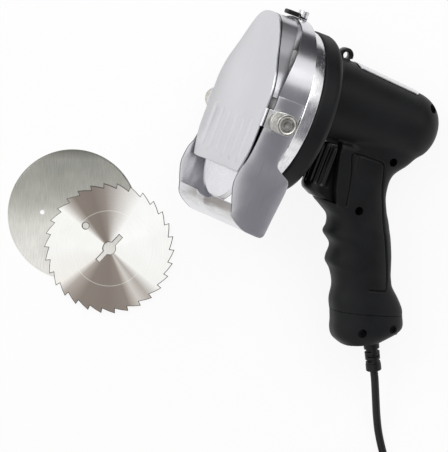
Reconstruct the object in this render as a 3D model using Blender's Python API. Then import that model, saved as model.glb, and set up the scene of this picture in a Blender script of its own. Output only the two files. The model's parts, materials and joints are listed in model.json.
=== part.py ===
"""Electric kebab slicer with two spare blades, as it lies on a table.

The slicer is modelled upright in its own axes and is then laid on its right side.
In those axes X points forward to the blade, Y to the slicer's left and Z up, and
zero is on the head's axis, in the middle of the gears.
All lengths are in metres.
"""
import math

import bmesh
import bpy
from mathutils import Matrix, Vector

# Gaps and walls that many pieces share
CLEAR = 0.0003
OVERRUN = 0.002
SHELL_WALL = 0.0028

# Sides of round pieces
LARGE_SIDES = 36
MIDDLE_SIDES = 20
SMALL_SIDES = 12
BUSH_SIDES = 24
SCREW_SIDES = 8

# Black gear case and bright steel cover, two cups that face each other
CASE_RADIUS = 0.0625
CASE_DEPTH = 0.0125
CASE_FRONT = 0.0042
CASE_WALL = 0.003
CASE_EDGE = 0.004
CASE_EDGE_ROUNDING = 0.3
COVER_RADIUS = 0.0615
COVER_DEPTH = 0.014
COVER_WALL = 0.003
COVER_EDGE = 0.0008
POST_CIRCLE_RADIUS = 0.052
POST_RADIUS = 0.0042
POST_ANGLES = (50, 130, 200, 340)
HEAD_SCREW_RADIUS = 0.002
HEAD_SCREW_CAP_RADIUS = 0.0038
HEAD_SCREW_CAP = 0.0024
HEAD_SCREW_LENGTH = 0.017

# Gear train on one upright line: motor pinion, idler and blade gear
MOTOR_RISE = 0.020
SPINDLE_DROP = 0.034
PINION_TEETH = 12
IDLER_TEETH = 24
BLADE_TEETH = 42
PRESSURE_ANGLE = 20
TOOTH_GAP_SHARE = 0.30
ADDENDUM_SHARE = 0.90
DEDENDUM_SHARE = 1.20
GEAR_WIDTH = 0.008
PINION_WIDTH = 0.010
IDLER_PIN_RADIUS = 0.003
IDLER_PIN_HEAD = 0.0055
IDLER_PIN_HEAD_WIDTH = 0.0015

# Blade spindle with its bushes, hub and nut
SPINDLE_RADIUS = 0.006
SPINDLE_TAIL_RADIUS = 0.004
SPINDLE_NOSE_RADIUS = 0.0044
BUSH_WALL = 0.0022
BUSH_BOSS_WALL = 0.0025
REAR_BOSS = 0.0035
FRONT_BOSS = 0.005
HUB_RADIUS = 0.0145
HUB_FLANGE = 0.004
HUB_NECK_RADIUS = 0.009
HUB_START = 0.0165
NUT_RADIUS = 0.0135
NUT_DEPTH = 0.0036
NUT_STEP_SHARE = 0.5
NUT_FACE_SHARE = 0.7

# Round blades, one mounted and two spare, all of one fitting
BLADE_RADIUS = 0.050
BLADE_THICKNESS = 0.0013
BLADE_EDGE = 0.0003
BLADE_GRIND = 0.004
BLADE_PLANE = 0.0332
BLADE_HOLE = 0.0048
DRIVE_SLOT_LENGTH = 0.0258
DRIVE_SLOT_WIDTH = 0.0032
TOOTH_COUNT = 30
TOOTH_DEPTH = 0.0036
# One saw tooth: share of the way round to the next tooth, and of the depth
TOOTH_SHAPE = ((0.0, 1.0), (0.5, 0.5), (0.97, 0.0))
TOOTHED_PEG_HOLE = 0.0025
TOOTHED_PEG_PLACE = 0.025
TOOTHED_PEG_ANGLE = 137
TOOTHED_SLOT_ANGLE = 47.5
SMOOTH_PEG_HOLE = 0.00175
SMOOTH_PEG_PLACE = 0.0235
SMOOTH_PEG_ANGLE = 176

# Blade guard, one folded sheet: arch, two wings, a web behind and a tray below
GUARD_SHEET = 0.0012
WEB_INSET = GUARD_SHEET / 20
TRAY_INSET = GUARD_SHEET / 6
GUARD_HALF_WIDTH = 0.060
ARCH_RISE = 0.007
WING_DROP = 0.0963
WING_REACH = 0.046
WEB_DROP = 0.026
WEB_HOLE = 0.044
ARCH_STEPS = 18
ARCH_FRONT_SHARES = (0.79, 0.78, 0.745, 0.693, 0.583, 0.548, 0.544)
# Wing outline as shares of reach and drop, from its front edge round to its rear edge
WING_FRONT_SHARES = (
    (0.79, 0.0), (0.80, 0.06), (0.826, 0.12), (0.85, 0.21), (0.87, 0.33),
    (0.909, 0.463), (0.97, 0.544), (0.998, 0.633), (0.989, 0.696),
    (0.939, 0.774), (0.898, 0.826), (0.846, 0.900), (0.748, 0.944),
    (0.641, 0.972), (0.548, 0.991), (0.435, 0.997), (0.272, 1.0),
)
WING_REAR_SHARES = (
    (0.209, 0.987), (0.180, 0.955), (0.157, 0.848), (0.120, 0.700),
    (0.098, 0.590), (0.108, 0.535), (0.143, 0.510), (0.228, 0.488),
    (0.317, 0.464), (0.378, 0.440), (0.393, 0.400), (0.367, 0.324),
    (0.330, 0.211), (0.312, 0.06), (0.311, 0.0),
)
LIP_INDEX = 10
LIP_DIP = 0.0035
LIP_DIP_HALF_WIDTH = 0.018
WELD_NUT_RADIUS = 0.005
WELD_NUT_DEPTH = 0.0028

# Gauge plate in front of the blade, which sets the slice's thickness
PLATE_FACE = 0.041
PLATE_SHEET = 0.0015
PLATE_HALF_WIDTH = 0.0582
PLATE_TOP = 0.065
PLATE_BOTTOM = 0.056
# Half outline as shares of half width and of the height above or below the axis
PLATE_LOW_SHARES = ((0.825, -1.0), (0.90, -0.875), (0.965, -0.72), (1.0, -0.54), (1.0, -0.06))
PLATE_HIGH_SHARES = (
    (1.0, 0.08), (0.975, 0.18), (0.90, 0.33), (0.80, 0.45), (0.705, 0.56), (0.62, 0.67),
    (0.545, 0.765), (0.47, 0.85), (0.38, 0.925), (0.25, 0.977), (0.12, 0.996), (0.0, 1.0),
)
RIM_SIDE_DEPTH = 0.0048
RIM_TOP_DEPTH = 0.0150
RIB_COUNT = 6
RIB_SPACING = 0.0165
RIB_WIDTH = 0.007
RIB_HEIGHT = 0.0012
RIB_END_SHARE = 0.55
RIB_TOP_SHARE = 0.5
RIB_TOP = -0.013
RIB_BOTTOM = -0.050
PLATE_TRAVEL_BACK = 0.0015
PLATE_TRAVEL_FORWARD = 0.0065

# Thumb screws that clamp the gauge plate's slotted side tabs
THUMB_PLACE = 0.030
THUMB_DROP = 0.011
TAB_WIDTH = 0.014
TAB_SHEET = 0.0012
TAB_MARGIN = 0.0022
THUMB_SHANK_RADIUS = 0.0025
THUMB_SHANK_INSIDE = 0.004
WASHER_RADIUS = 0.0072
WASHER_THICKNESS = 0.001
COLLAR_RADIUS = 0.0078
COLLAR_LENGTH = 0.0033
GROOVE_RADIUS = 0.0055
GROOVE_LENGTH = 0.001
THUMB_HEAD_RADIUS = 0.008
THUMB_HEAD_LENGTH = 0.0137
THUMB_EDGE = 0.0008
KNURL_SHARE = 0.955

# Rubber buffer and small screw on top of the guard
BUFFER_START = 0.0222
BUFFER_LENGTH = 0.009
BUFFER_WIDTH = 0.010
BUFFER_THICKNESS = 0.0034
BUFFER_TONGUE = 0.001
TOP_SCREW_PLACE = 0.0175
TOP_SCREW_RADIUS = 0.002
TOP_SCREW_HEAD_RADIUS = 0.004
TOP_SCREW_HEAD = 0.005
TOP_SCREW_INSIDE = 0.005

# Barrel and handle of the two moulded housing shells
BARREL_FRONT_RADIUS = 0.0325
BARREL_FLARE = 0.0035
BARREL_FLARE_LENGTH = 0.0075
FLARE_STEPS = 3
BARREL_REAR_RADIUS = 0.0268
BARREL_LENGTH = 0.1039
BARREL_DOME = 0.0262
BARREL_FRONT_WALL = 0.004
BARREL_MOUTH = 0.018
BARREL_START = CASE_DEPTH + CLEAR
BARREL_STRAIGHT = BARREL_LENGTH - BARREL_DOME
DOME_POWER = 2.3
DOME_STEPS = 6
DOME_LAST_ANGLE = 84
HANDLE_REACH = 0.148
HANDLE_DROP = 0.1512
HANDLE_HALF_WIDTH = 0.0205
HANDLE_POWER = 2.5
HANDLE_SIDES = 16
# The handle's root is as long as the barrel above it; its reach counts fully from the trigger down
ROOT_REACH = 1.2682 * (BARREL_START + BARREL_LENGTH)
ROOT_LOW_SHARE = 0.053
ROOT_END_SHARE = 0.132
# Handle sections: front point, rear point and half width, as shares of reach, drop and width
HANDLE_SHARES = (
    (0.304, -0.053, 0.743, -0.053, 0.88),
    (0.304, 0.053, 0.716, 0.040, 0.90),
    (0.311, 0.132, 0.652, 0.126, 0.88),
    (0.318, 0.225, 0.653, 0.223, 0.88),
    (0.311, 0.304, 0.686, 0.304, 0.88),
    (0.278, 0.350, 0.719, 0.344, 0.88),
    (0.338, 0.387, 0.743, 0.387, 0.89),
    (0.390, 0.417, 0.764, 0.423, 0.91),
    (0.407, 0.463, 0.780, 0.460, 0.92),
    (0.412, 0.505, 0.801, 0.503, 0.93),
    (0.463, 0.549, 0.816, 0.542, 0.93),
    (0.478, 0.608, 0.841, 0.595, 0.93),
    (0.526, 0.671, 0.872, 0.648, 0.92),
    (0.559, 0.734, 0.916, 0.688, 0.93),
    (0.576, 0.807, 0.961, 0.731, 0.97),
    (0.601, 0.856, 0.975, 0.761, 1.0),
)
CAP_SHARES = (
    (0.603, 0.858, 0.976, 0.763, 1.0),
    (0.626, 0.905, 0.998, 0.815, 1.02),
    (0.653, 0.955, 0.990, 0.852, 1.0),
    (0.686, 0.982, 0.953, 0.886, 0.92),
    (0.736, 0.998, 0.905, 0.926, 0.76),
)

# Screws through the left shell into bosses of the right one, as shares of reach, drop and width
BOSS_RADIUS = 0.0042
BOSS_SHARES = ((0.689, -0.258, 0.73), (0.580, 0.062, 0.80), (0.495, 0.348, 0.80))
SHELL_SCREW_RADIUS = 0.0015
SHELL_SCREW_HEAD_RADIUS = 0.003
SHELL_SCREW_HEAD = 0.0022
SHELL_SCREW_SEAT = 0.008
SHELL_SCREW_DEPTH = 0.009
CAP_SCREW_SHARES = ((0.745, 0.915), (0.900, 0.845))
CAP_SCREW_SEAT = 0.0165
CAP_SCREW_END = 0.007
CAP_SCREW_GAP = 4 * CLEAR

# Trigger with its spring and switch
TRIGGER_TOP = 0.0794 * HANDLE_DROP
TRIGGER_BOTTOM = 0.3538 * HANDLE_DROP
TRIGGER_BACK = 0.3986 * HANDLE_REACH
TRIGGER_DEPTH = 0.030
TRIGGER_HALF_WIDTH = 0.011
TRIGGER_TRAVEL = 0.006
TRIGGER_FRONT = TRIGGER_BACK - TRIGGER_DEPTH
TRIGGER_RIBS = 5
TRIGGER_RIB_HEIGHT = 0.0008
# Front face of the trigger: shares of the way from back to front, and from top to bottom
TRIGGER_FACE_SHARES = (
    (0.80, 0.0), (0.68, 0.10), (0.58, 0.30), (0.56, 0.52), (0.66, 0.70),
    (0.86, 0.79), (0.97, 0.80), (1.0, 0.84), (0.90, 0.92), (0.62, 1.0),
)
SPRING_WIRE = 0.00045
SPRING_RADIUS = 0.0033
SPRING_TURNS = 6
SPRING_TURN_STEPS = 10
SPRING_POCKET = 0.010
SWITCH_LENGTH = 0.1351 * HANDLE_REACH
SWITCH_HALF_WIDTH = 0.009
SWITCH_TOP = 0.1323 * HANDLE_DROP
SWITCH_BOTTOM = 0.3042 * HANDLE_DROP
CRADLE_LENGTH = 0.008
CRADLE_HEIGHT = 0.010
CRADLE_OUTER_SHARE = 0.80

# Motor inside the barrel
CAN_RADIUS = 0.024
CAN_LENGTH = 0.5582 * BARREL_LENGTH
CAN_WALL = 0.0016
SHAFT_RADIUS = 0.0025
SHAFT_TAIL = 0.003
BEARING_RADIUS = 0.0078
BEARING_WIDTH = 0.004
REAR_BEARING_RADIUS = 0.0065
FAN_RADIUS = 0.019
FAN_WIDTH = 0.006
FAN_BLADES = 9
FAN_GAP = 0.002
# One fan blade and one armature tooth: shares of the radius and of the way round to the next one
FAN_BLADE_SHAPE = ((0.4, 0.0), (1.0, 0.1), (1.0, 0.4), (0.4, 0.5))
ARMATURE_TOOTH_SHAPE = ((1.0, 0.0), (1.0, 0.4), (1.0, 0.8), (0.7, 0.85), (0.7, 0.95))
ARMATURE_RADIUS = 0.0145
ARMATURE_LENGTH = 0.5172 * CAN_LENGTH
ARMATURE_SLOTS = 12
ARMATURE_GAP = 0.002
COMMUTATOR_RADIUS = 0.0075
COMMUTATOR_LENGTH = 0.009
BRUSH_PLATE = 0.003
BRUSH_WIDTH = 0.004
BRUSH_HEIGHT = 0.006
BRUSH_LENGTH = 0.009
BRUSH_ARM = 0.002
CASE_SCREW_CIRCLE_RADIUS = 0.0235
CASE_SCREW_ANGLES = (20, 160)
CASE_SCREW_RADIUS = 0.0015
CASE_SCREW_HEAD_RADIUS = 0.0028
CASE_SCREW_HEAD = 0.0018

# Blank plate and hanging eye on top of the barrel
LABEL_START = BARREL_START + 0.2857 * BARREL_STRAIGHT
LABEL_END = BARREL_START + 0.9807 * BARREL_STRAIGHT
LABEL_STEPS = 8
LABEL_HALF_ANGLE = 24
LABEL_THICKNESS = 0.0007
EYE_PLACE = 0.0255
EYE_RADIUS = 0.0056
EYE_HOLE = 0.0026
EYE_HALF_WIDTH = 0.0035
EYE_RISE = 0.0022
EYE_ROOT = 0.004

# Strain relief, mains cord and its two-pin plug
RELIEF_PLACE_SHARES = (0.865, 0.950)
RELIEF_TILT = 28
RELIEF_RADIUS = 0.006
RELIEF_TIP_RADIUS = 0.0046
RELIEF_LENGTH = 0.0215
RELIEF_INSIDE = 0.0077
RELIEF_FLANGE = 0.0015
RELIEF_RINGS = 3
RELIEF_RING_START = 0.15
RELIEF_RING_STEP = 0.27
RELIEF_WAIST_SHARE = 0.82
CORD_RADIUS = 0.003
CORD_STEP = 0.013
CURVE_STEPS = 16
# Route of the cord: way sideways and down the table from its exit, and share of the exit's height
CORD_ROUTE = (
    (0.0003, -0.0062, 0.90), (0.0013, -0.0179, 0.70), (0.0021, -0.0338, 0.36),
    (0.0038, -0.0489, 0.11), (0.0067, -0.0617, 0.022), (0.0105, -0.0745, 0.012),
)
CORD_START_ANGLE = 17
COIL_PLACE = (-0.0257, -0.1134)
COIL_RADIUS = 0.033
COIL_TURNS = 4
COIL_POINTS = 24
COIL_PITCH = 0.0065
COIL_LAYER = 0.0065
COIL_TAIL = 0.024
COIL_CLIMB_TURNS = 0.5
TIE_THICKNESS = 0.001
TIE_HALF_WIDTH = 0.004
TIE_ANGLE = 200
BOOT_LENGTH = 0.014
BOOT_RADIUS = 0.0048
BOOT_TIP_SHARE = 0.85
BOOT_TAPER_SHARE = 0.3
PLUG_LENGTH = 0.032
PLUG_WIDTH = 0.036
PLUG_NECK_SHARE = 0.50
PLUG_EDGE = 0.003
# The plug's sections behind its face: share of its length, of its width and of its depth
PLUG_SHARES = ((0.3, 0.8, 1.0), (0.6, 1.0, 1.0))
PLUG_NECK_DEPTH_SHARE = 0.85
PIN_SPACING = 0.019
PIN_RADIUS = 0.0024
PIN_LENGTH = 0.019
PIN_ROOT = 0.006

# How the slicer and the spare blades lie on the table
HEADING = 159.0
TOOTHED_PLACE = (-0.1406, -0.1097)
SMOOTH_PLACE = (-0.1690, -0.0845)
SETTLE_STEPS = 8

FINISHES = {
    "black_moulding": ((0.022, 0.023, 0.025), 0.55, 0.0),
    "black_gloss": ((0.006, 0.006, 0.006), 0.25, 0.0),
    "black_rubber": ((0.010, 0.010, 0.010), 0.75, 0.0),
    "brushed_steel": ((0.52, 0.52, 0.54), 0.32, 1.0),
    "bright_steel": ((0.70, 0.70, 0.71), 0.20, 1.0),
    "satin_plate": ((0.62, 0.62, 0.64), 0.42, 1.0),
    "nickel": ((0.66, 0.64, 0.58), 0.30, 1.0),
    "dark_steel": ((0.16, 0.16, 0.17), 0.40, 1.0),
    "bronze": ((0.42, 0.26, 0.10), 0.40, 1.0),
    "copper": ((0.60, 0.25, 0.12), 0.35, 1.0),
    "carbon": ((0.02, 0.02, 0.02), 0.60, 0.0),
    "pale_plate": ((0.70, 0.72, 0.74), 0.35, 0.5),
}

GEAR_MODULE = 2 * (MOTOR_RISE + SPINDLE_DROP) / (PINION_TEETH + 2 * IDLER_TEETH + BLADE_TEETH)
IDLER_RISE = MOTOR_RISE - GEAR_MODULE * (PINION_TEETH + IDLER_TEETH) / 2
GUARD_REAR = COVER_DEPTH + CLEAR
SWITCH_GAP = TRIGGER_TRAVEL + 2 * CLEAR


def empty(name, parent=None, place=(0, 0, 0)):
    """Add an empty, which carries the pieces of one body and isn't a piece itself."""
    holder = bpy.data.objects.new(name, None)
    bpy.context.scene.collection.objects.link(holder)
    holder.parent = parent
    holder.location = place
    return holder


def piece(name, shape, finish, parent=None, place=(0, 0, 0), turn=(0, 0, 0)):
    """Turn a bmesh into a named object with a material of its own."""
    shape.normal_update()
    bmesh.ops.recalc_face_normals(shape, faces=shape.faces)
    mesh = bpy.data.meshes.new(name)
    shape.to_mesh(mesh)
    shape.free()
    item = bpy.data.objects.new(name, mesh)
    bpy.context.scene.collection.objects.link(item)
    item.parent = parent
    item.location = place
    item.rotation_euler = turn
    if finish:
        dress(item, finish)
    return item


def dress(item, finish):
    """Give a piece its own material from the table of finishes."""
    colour, roughness, metallic = FINISHES[finish]
    material = bpy.data.materials.new(item.name + "_" + finish)
    material.use_nodes = True
    shader = material.node_tree.nodes["Principled BSDF"]
    shader.inputs["Base Color"].default_value = (*colour, 1.0)
    shader.inputs["Roughness"].default_value = roughness
    shader.inputs["Metallic"].default_value = metallic
    item.data.materials.clear()
    item.data.materials.append(material)
    item.data.shade_smooth()
    item.data.set_sharp_from_angle(angle=math.radians(35))


def turned(profile, sides=SMALL_SIDES, knurl=None):
    """Spin a profile of (along, radius) points about X; one with no point on the axis has a bore."""
    shape = bmesh.new()
    points = [shape.verts.new((along, 0, radius)) for along, radius in profile]
    edges = [shape.edges.new(pair) for pair in zip(points, points[1:])]
    if min(radius for along, radius in profile) > 0:
        edges.append(shape.edges.new((points[-1], points[0])))
    bmesh.ops.spin(
        shape, geom=points + edges, cent=(0, 0, 0), axis=(1, 0, 0), dvec=(0, 0, 0),
        angle=2 * math.pi, steps=sides, use_merge=True, use_duplicate=False)
    bmesh.ops.remove_doubles(shape, verts=shape.verts, dist=CLEAR / 100)
    centres = [vert for vert in shape.verts if math.hypot(vert.co.y, vert.co.z) < CLEAR / 100]
    bmesh.ops.dissolve_verts(shape, verts=centres)
    if knurl:
        low, high = knurl
        for vert in shape.verts:
            count = round(math.atan2(vert.co.y, vert.co.z) / (2 * math.pi) * sides)
            if count % 2 and low < vert.co.x < high:
                vert.co.y *= KNURL_SHARE
                vert.co.z *= KNURL_SHARE
    return shape


def sheet(outline, low, high, across="x"):
    """Extrude a flat outline from low to high along one axis."""
    shape = bmesh.new()
    places = {
        "x": [(low, first, second) for first, second in outline],
        "y": [(first, low, second) for first, second in outline],
        "z": [(first, second, low) for first, second in outline],
    }[across]
    face = shape.faces.new([shape.verts.new(place) for place in places])
    push = bmesh.ops.extrude_face_region(shape, geom=[face])
    moved = [item for item in push["geom"] if isinstance(item, bmesh.types.BMVert)]
    step = [high - low if name == across else 0 for name in "xyz"]
    bmesh.ops.translate(shape, verts=moved, vec=step)
    return shape


def block(low, high):
    """A plain box between two corners."""
    outline = ((low[0], low[1]), (high[0], low[1]), (high[0], high[1]), (low[0], high[1]))
    return sheet(outline, low[2], high[2], "z")


def loft(rings):
    """Skin a row of rings with the same number of points, and close both ends."""
    shape = bmesh.new()
    rows = [[shape.verts.new(point) for point in ring] for ring in rings]
    for near, far in zip(rows, rows[1:]):
        for index, vert in enumerate(near):
            following = (index + 1) % len(near)
            shape.faces.new((vert, near[following], far[following], far[index]))
    shape.faces.new(rows[0][::-1])
    shape.faces.new(rows[-1])
    bmesh.ops.triangulate(shape, faces=shape.faces)
    return shape


def circle(radius, sides, centre=(0, 0), start=0.0):
    """Points of a circle in a plane."""
    return [
        (centre[0] + radius * math.cos(start + 2 * math.pi * index / sides),
         centre[1] + radius * math.sin(start + 2 * math.pi * index / sides))
        for index in range(sides)]


def rod(radius, low, high, across, centre=(0, 0), sides=SMALL_SIDES):
    """A plain round bar along one axis."""
    return sheet(circle(radius, sides, centre), low, high, across)


def combine(body, shapes, operation):
    """Join shapes to a body, or cut them from it, with exact Booleans that are applied at once."""
    helpers = [piece("helper", shape, None, body) for shape in shapes]
    for helper in helpers:
        step = body.modifiers.new(helper.name, "BOOLEAN")
        step.operation = operation
        step.object = helper
    bpy.context.view_layer.update()
    graph = bpy.context.evaluated_depsgraph_get()
    result = bpy.data.meshes.new_from_object(body.evaluated_get(graph))
    body.modifiers.clear()
    body.data = result
    tidy = bmesh.new()
    tidy.from_mesh(result)
    bmesh.ops.remove_doubles(tidy, verts=tidy.verts, dist=CLEAR / 100)
    bmesh.ops.dissolve_degenerate(tidy, edges=tidy.edges, dist=CLEAR / 100)
    tidy.to_mesh(result)
    tidy.free()
    for helper in helpers:
        bpy.data.objects.remove(helper, do_unlink=True)


def join(body, *shapes):
    combine(body, shapes, "UNION")


def cut(body, *shapes):
    combine(body, shapes, "DIFFERENCE")


def as_shape(item):
    """Read an object's mesh back as a bmesh and delete the object."""
    shape = bmesh.new()
    shape.from_mesh(item.data)
    bpy.data.objects.remove(item, do_unlink=True)
    return shape


def tube(name, points, radius, finish, rounds=1):
    """A round tube along a row of points, with closed ends."""
    curve = bpy.data.curves.new(name, "CURVE")
    curve.dimensions = "3D"
    curve.bevel_depth = radius
    curve.bevel_resolution = rounds
    curve.use_fill_caps = True
    spline = curve.splines.new("POLY")
    spline.points.add(len(points) - 1)
    for point, place in zip(spline.points, points):
        point.co = (*place, 1.0)
    item = bpy.data.objects.new(name, curve)
    bpy.context.scene.collection.objects.link(item)
    colour, roughness, metallic = FINISHES[finish]
    material = bpy.data.materials.new(name + "_" + finish)
    material.use_nodes = True
    shader = material.node_tree.nodes["Principled BSDF"]
    shader.inputs["Base Color"].default_value = (*colour, 1.0)
    shader.inputs["Roughness"].default_value = roughness
    shader.inputs["Metallic"].default_value = metallic
    curve.materials.append(material)
    return item


def polar(radius, degrees, centre=(0, 0)):
    """A point at a radius and an angle, counted from the first axis."""
    angle = math.radians(degrees)
    return (centre[0] + radius * math.cos(angle), centre[1] + radius * math.sin(angle))


def interpolate(table, share):
    """Read an evenly spaced table at a share of its length."""
    place = share * (len(table) - 1)
    index = min(int(place), len(table) - 2)
    return table[index] + (table[index + 1] - table[index]) * (place - index)


for leftover in list(bpy.data.objects):
    bpy.data.objects.remove(leftover, do_unlink=True)

# Carriers of the bodies
table_set = empty("table_set")
slicer = empty("slicer", table_set)
gauge_slide = empty("gauge_slide", slicer, (PLATE_FACE, 0, 0))
blade_axis = empty("blade_axis", slicer, (0, 0, -SPINDLE_DROP))
idler_axis = empty("idler_axis", slicer, (0, 0, IDLER_RISE))
motor_axis = empty("motor_axis", slicer, (0, 0, MOTOR_RISE))
trigger_slide = empty("trigger_slide", slicer, (-TRIGGER_BACK, 0, -TRIGGER_TOP))


# Gear case: a black cup with posts for the head screws and a boss for the spindle
def make_gear_case():
    face = -CASE_DEPTH
    floor = face + CASE_WALL
    inner = CASE_RADIUS - CASE_WALL
    case = piece("gear_case", turned((
        (floor, 0), (floor, inner), (CASE_FRONT, inner), (CASE_FRONT, CASE_RADIUS),
        (face + CASE_EDGE, CASE_RADIUS),
        (face + CASE_EDGE * CASE_EDGE_ROUNDING, CASE_RADIUS - CASE_EDGE * CASE_EDGE_ROUNDING),
        (face, CASE_RADIUS - CASE_EDGE),
        (face, 0)), LARGE_SIDES), None, slicer)
    post_end = COVER_DEPTH - COVER_WALL - CLEAR
    bush_outer = SPINDLE_TAIL_RADIUS + CLEAR + BUSH_WALL
    boss_outer = bush_outer + CLEAR + BUSH_BOSS_WALL
    spindle = (0, -SPINDLE_DROP)
    posts = [rod(POST_RADIUS, floor - CASE_WALL / 2, post_end, "x", polar(POST_CIRCLE_RADIUS, angle))
             for angle in POST_ANGLES]
    boss = rod(boss_outer, floor - CASE_WALL / 2, floor + REAR_BOSS, "x", spindle)
    join(case, boss, *posts)
    screw_hole = HEAD_SCREW_RADIUS + CLEAR
    screw_end = GUARD_REAR + GUARD_SHEET + CLEAR - HEAD_SCREW_LENGTH - CLEAR
    holes = [rod(screw_hole, screw_end, post_end + OVERRUN, "x", polar(POST_CIRCLE_RADIUS, angle))
             for angle in POST_ANGLES]
    holes.append(rod(bush_outer + CLEAR, floor, floor + REAR_BOSS + OVERRUN, "x", spindle))
    holes.append(rod(BEARING_RADIUS + CLEAR, face - OVERRUN, floor + OVERRUN, "x",
                     (0, MOTOR_RISE), MIDDLE_SIDES))
    holes.append(rod(IDLER_PIN_RADIUS + CLEAR, face - OVERRUN, floor + OVERRUN, "x", (0, IDLER_RISE)))
    for angle in CASE_SCREW_ANGLES:
        holes.append(rod(CASE_SCREW_RADIUS + CLEAR, face - OVERRUN, floor + OVERRUN, "x",
                         polar(CASE_SCREW_CIRCLE_RADIUS, angle, (0, MOTOR_RISE))))
    cut(case, *holes)
    dress(case, "black_moulding")


# Steel cover: the bright drum in front of the gear case
def make_gear_cover():
    inner = COVER_RADIUS - COVER_WALL
    ceiling = COVER_DEPTH - COVER_WALL
    rim = CASE_FRONT + CLEAR
    cover = piece("gear_cover", turned((
        (ceiling, 0), (ceiling, inner), (rim, inner), (rim, COVER_RADIUS),
        (COVER_DEPTH - COVER_EDGE, COVER_RADIUS), (COVER_DEPTH, COVER_RADIUS - COVER_EDGE),
        (COVER_DEPTH, 0)), LARGE_SIDES), None, slicer)
    bush_outer = SPINDLE_RADIUS + CLEAR + BUSH_WALL
    spindle = (0, -SPINDLE_DROP)
    join(cover, rod(bush_outer + CLEAR + BUSH_BOSS_WALL, ceiling - FRONT_BOSS,
                    COVER_DEPTH - COVER_WALL / 2, "x", spindle))
    holes = [rod(HEAD_SCREW_RADIUS + CLEAR, ceiling - OVERRUN, COVER_DEPTH + OVERRUN, "x",
                 polar(POST_CIRCLE_RADIUS, angle)) for angle in POST_ANGLES]
    holes.append(rod(bush_outer + CLEAR, ceiling - FRONT_BOSS - OVERRUN, COVER_DEPTH + OVERRUN,
                     "x", spindle))
    cut(cover, *holes)
    dress(cover, "bright_steel")


# Screws through the guard's web and the cover into the posts of the gear case
def make_head_screws():
    seat = GUARD_REAR + WEB_INSET + GUARD_SHEET + CLEAR
    for count, angle in enumerate(POST_ANGLES, 1):
        profile = (
            (seat - HEAD_SCREW_LENGTH, 0), (seat - HEAD_SCREW_LENGTH, HEAD_SCREW_RADIUS),
            (seat, HEAD_SCREW_RADIUS), (seat, HEAD_SCREW_CAP_RADIUS),
            (seat + HEAD_SCREW_CAP, HEAD_SCREW_CAP_RADIUS), (seat + HEAD_SCREW_CAP, 0))
        piece("head_screw_%d" % count, turned(profile, SCREW_SIDES), "nickel", slicer,
              (0, *polar(POST_CIRCLE_RADIUS, angle)))


# Gears
def involute(angle):
    return math.tan(angle) - angle


def gear_outline(teeth, half_tooth_shift):
    """Outline of a spur gear with a tooth, or a gap, that points straight up."""
    pitch_radius = GEAR_MODULE * teeth / 2
    base_radius = pitch_radius * math.cos(math.radians(PRESSURE_ANGLE))
    root = pitch_radius - DEDENDUM_SHARE * GEAR_MODULE
    tip = pitch_radius + ADDENDUM_SHARE * GEAR_MODULE
    half_tooth = math.pi / 2 / teeth * (1 - TOOTH_GAP_SHARE)
    start = involute(math.radians(PRESSURE_ANGLE))
    flank = []
    for radius in (root, pitch_radius, tip):
        slope = math.acos(min(1.0, base_radius / radius))
        flank.append((radius, half_tooth + start - involute(slope)))
    outline = []
    for tooth in range(teeth):
        middle = math.pi / 2 + 2 * math.pi / teeth * (tooth + half_tooth_shift / 2)
        for radius, half in flank:
            outline.append((radius * math.cos(middle - half), radius * math.sin(middle - half)))
        for radius, half in reversed(flank):
            outline.append((radius * math.cos(middle + half), radius * math.sin(middle + half)))
    return outline


def make_gears():
    bore = CLEAR + SPINDLE_RADIUS
    gear = piece("blade_gear", sheet(gear_outline(BLADE_TEETH, 1), -GEAR_WIDTH / 2, GEAR_WIDTH / 2),
                 None, blade_axis)
    cut(gear, rod(bore, -GEAR_WIDTH, GEAR_WIDTH, "x"))
    dress(gear, "dark_steel")
    idler = piece("idler_gear", sheet(gear_outline(IDLER_TEETH, 0), -GEAR_WIDTH / 2, GEAR_WIDTH / 2),
                  None, idler_axis)
    cut(idler, rod(IDLER_PIN_RADIUS + CLEAR, -GEAR_WIDTH, GEAR_WIDTH, "x"))
    dress(idler, "bronze")
    pinion = piece("motor_pinion",
                   sheet(gear_outline(PINION_TEETH, 1), -PINION_WIDTH / 2, PINION_WIDTH / 2),
                   None, motor_axis)
    cut(pinion, rod(SHAFT_RADIUS + CLEAR, -PINION_WIDTH, PINION_WIDTH, "x"))
    dress(pinion, "dark_steel")


# Idler pin: pressed in the gear case's floor, with a head in front of its gear
def make_idler_pin():
    back = -CASE_DEPTH
    front = GEAR_WIDTH / 2 + CLEAR
    shoulder = IDLER_PIN_RADIUS + 2 * CLEAR + BUSH_WALL / 2
    profile = (
        (back, 0), (back, IDLER_PIN_RADIUS), (back + CASE_WALL + CLEAR, IDLER_PIN_RADIUS),
        (back + CASE_WALL + CLEAR, shoulder), (-GEAR_WIDTH / 2 - CLEAR, shoulder),
        (-GEAR_WIDTH / 2 - CLEAR, IDLER_PIN_RADIUS), (front, IDLER_PIN_RADIUS),
        (front, IDLER_PIN_HEAD), (front + IDLER_PIN_HEAD_WIDTH, IDLER_PIN_HEAD),
        (front + IDLER_PIN_HEAD_WIDTH, 0))
    piece("idler_pin", turned(profile), "nickel", slicer, (0, 0, IDLER_RISE))


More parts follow.
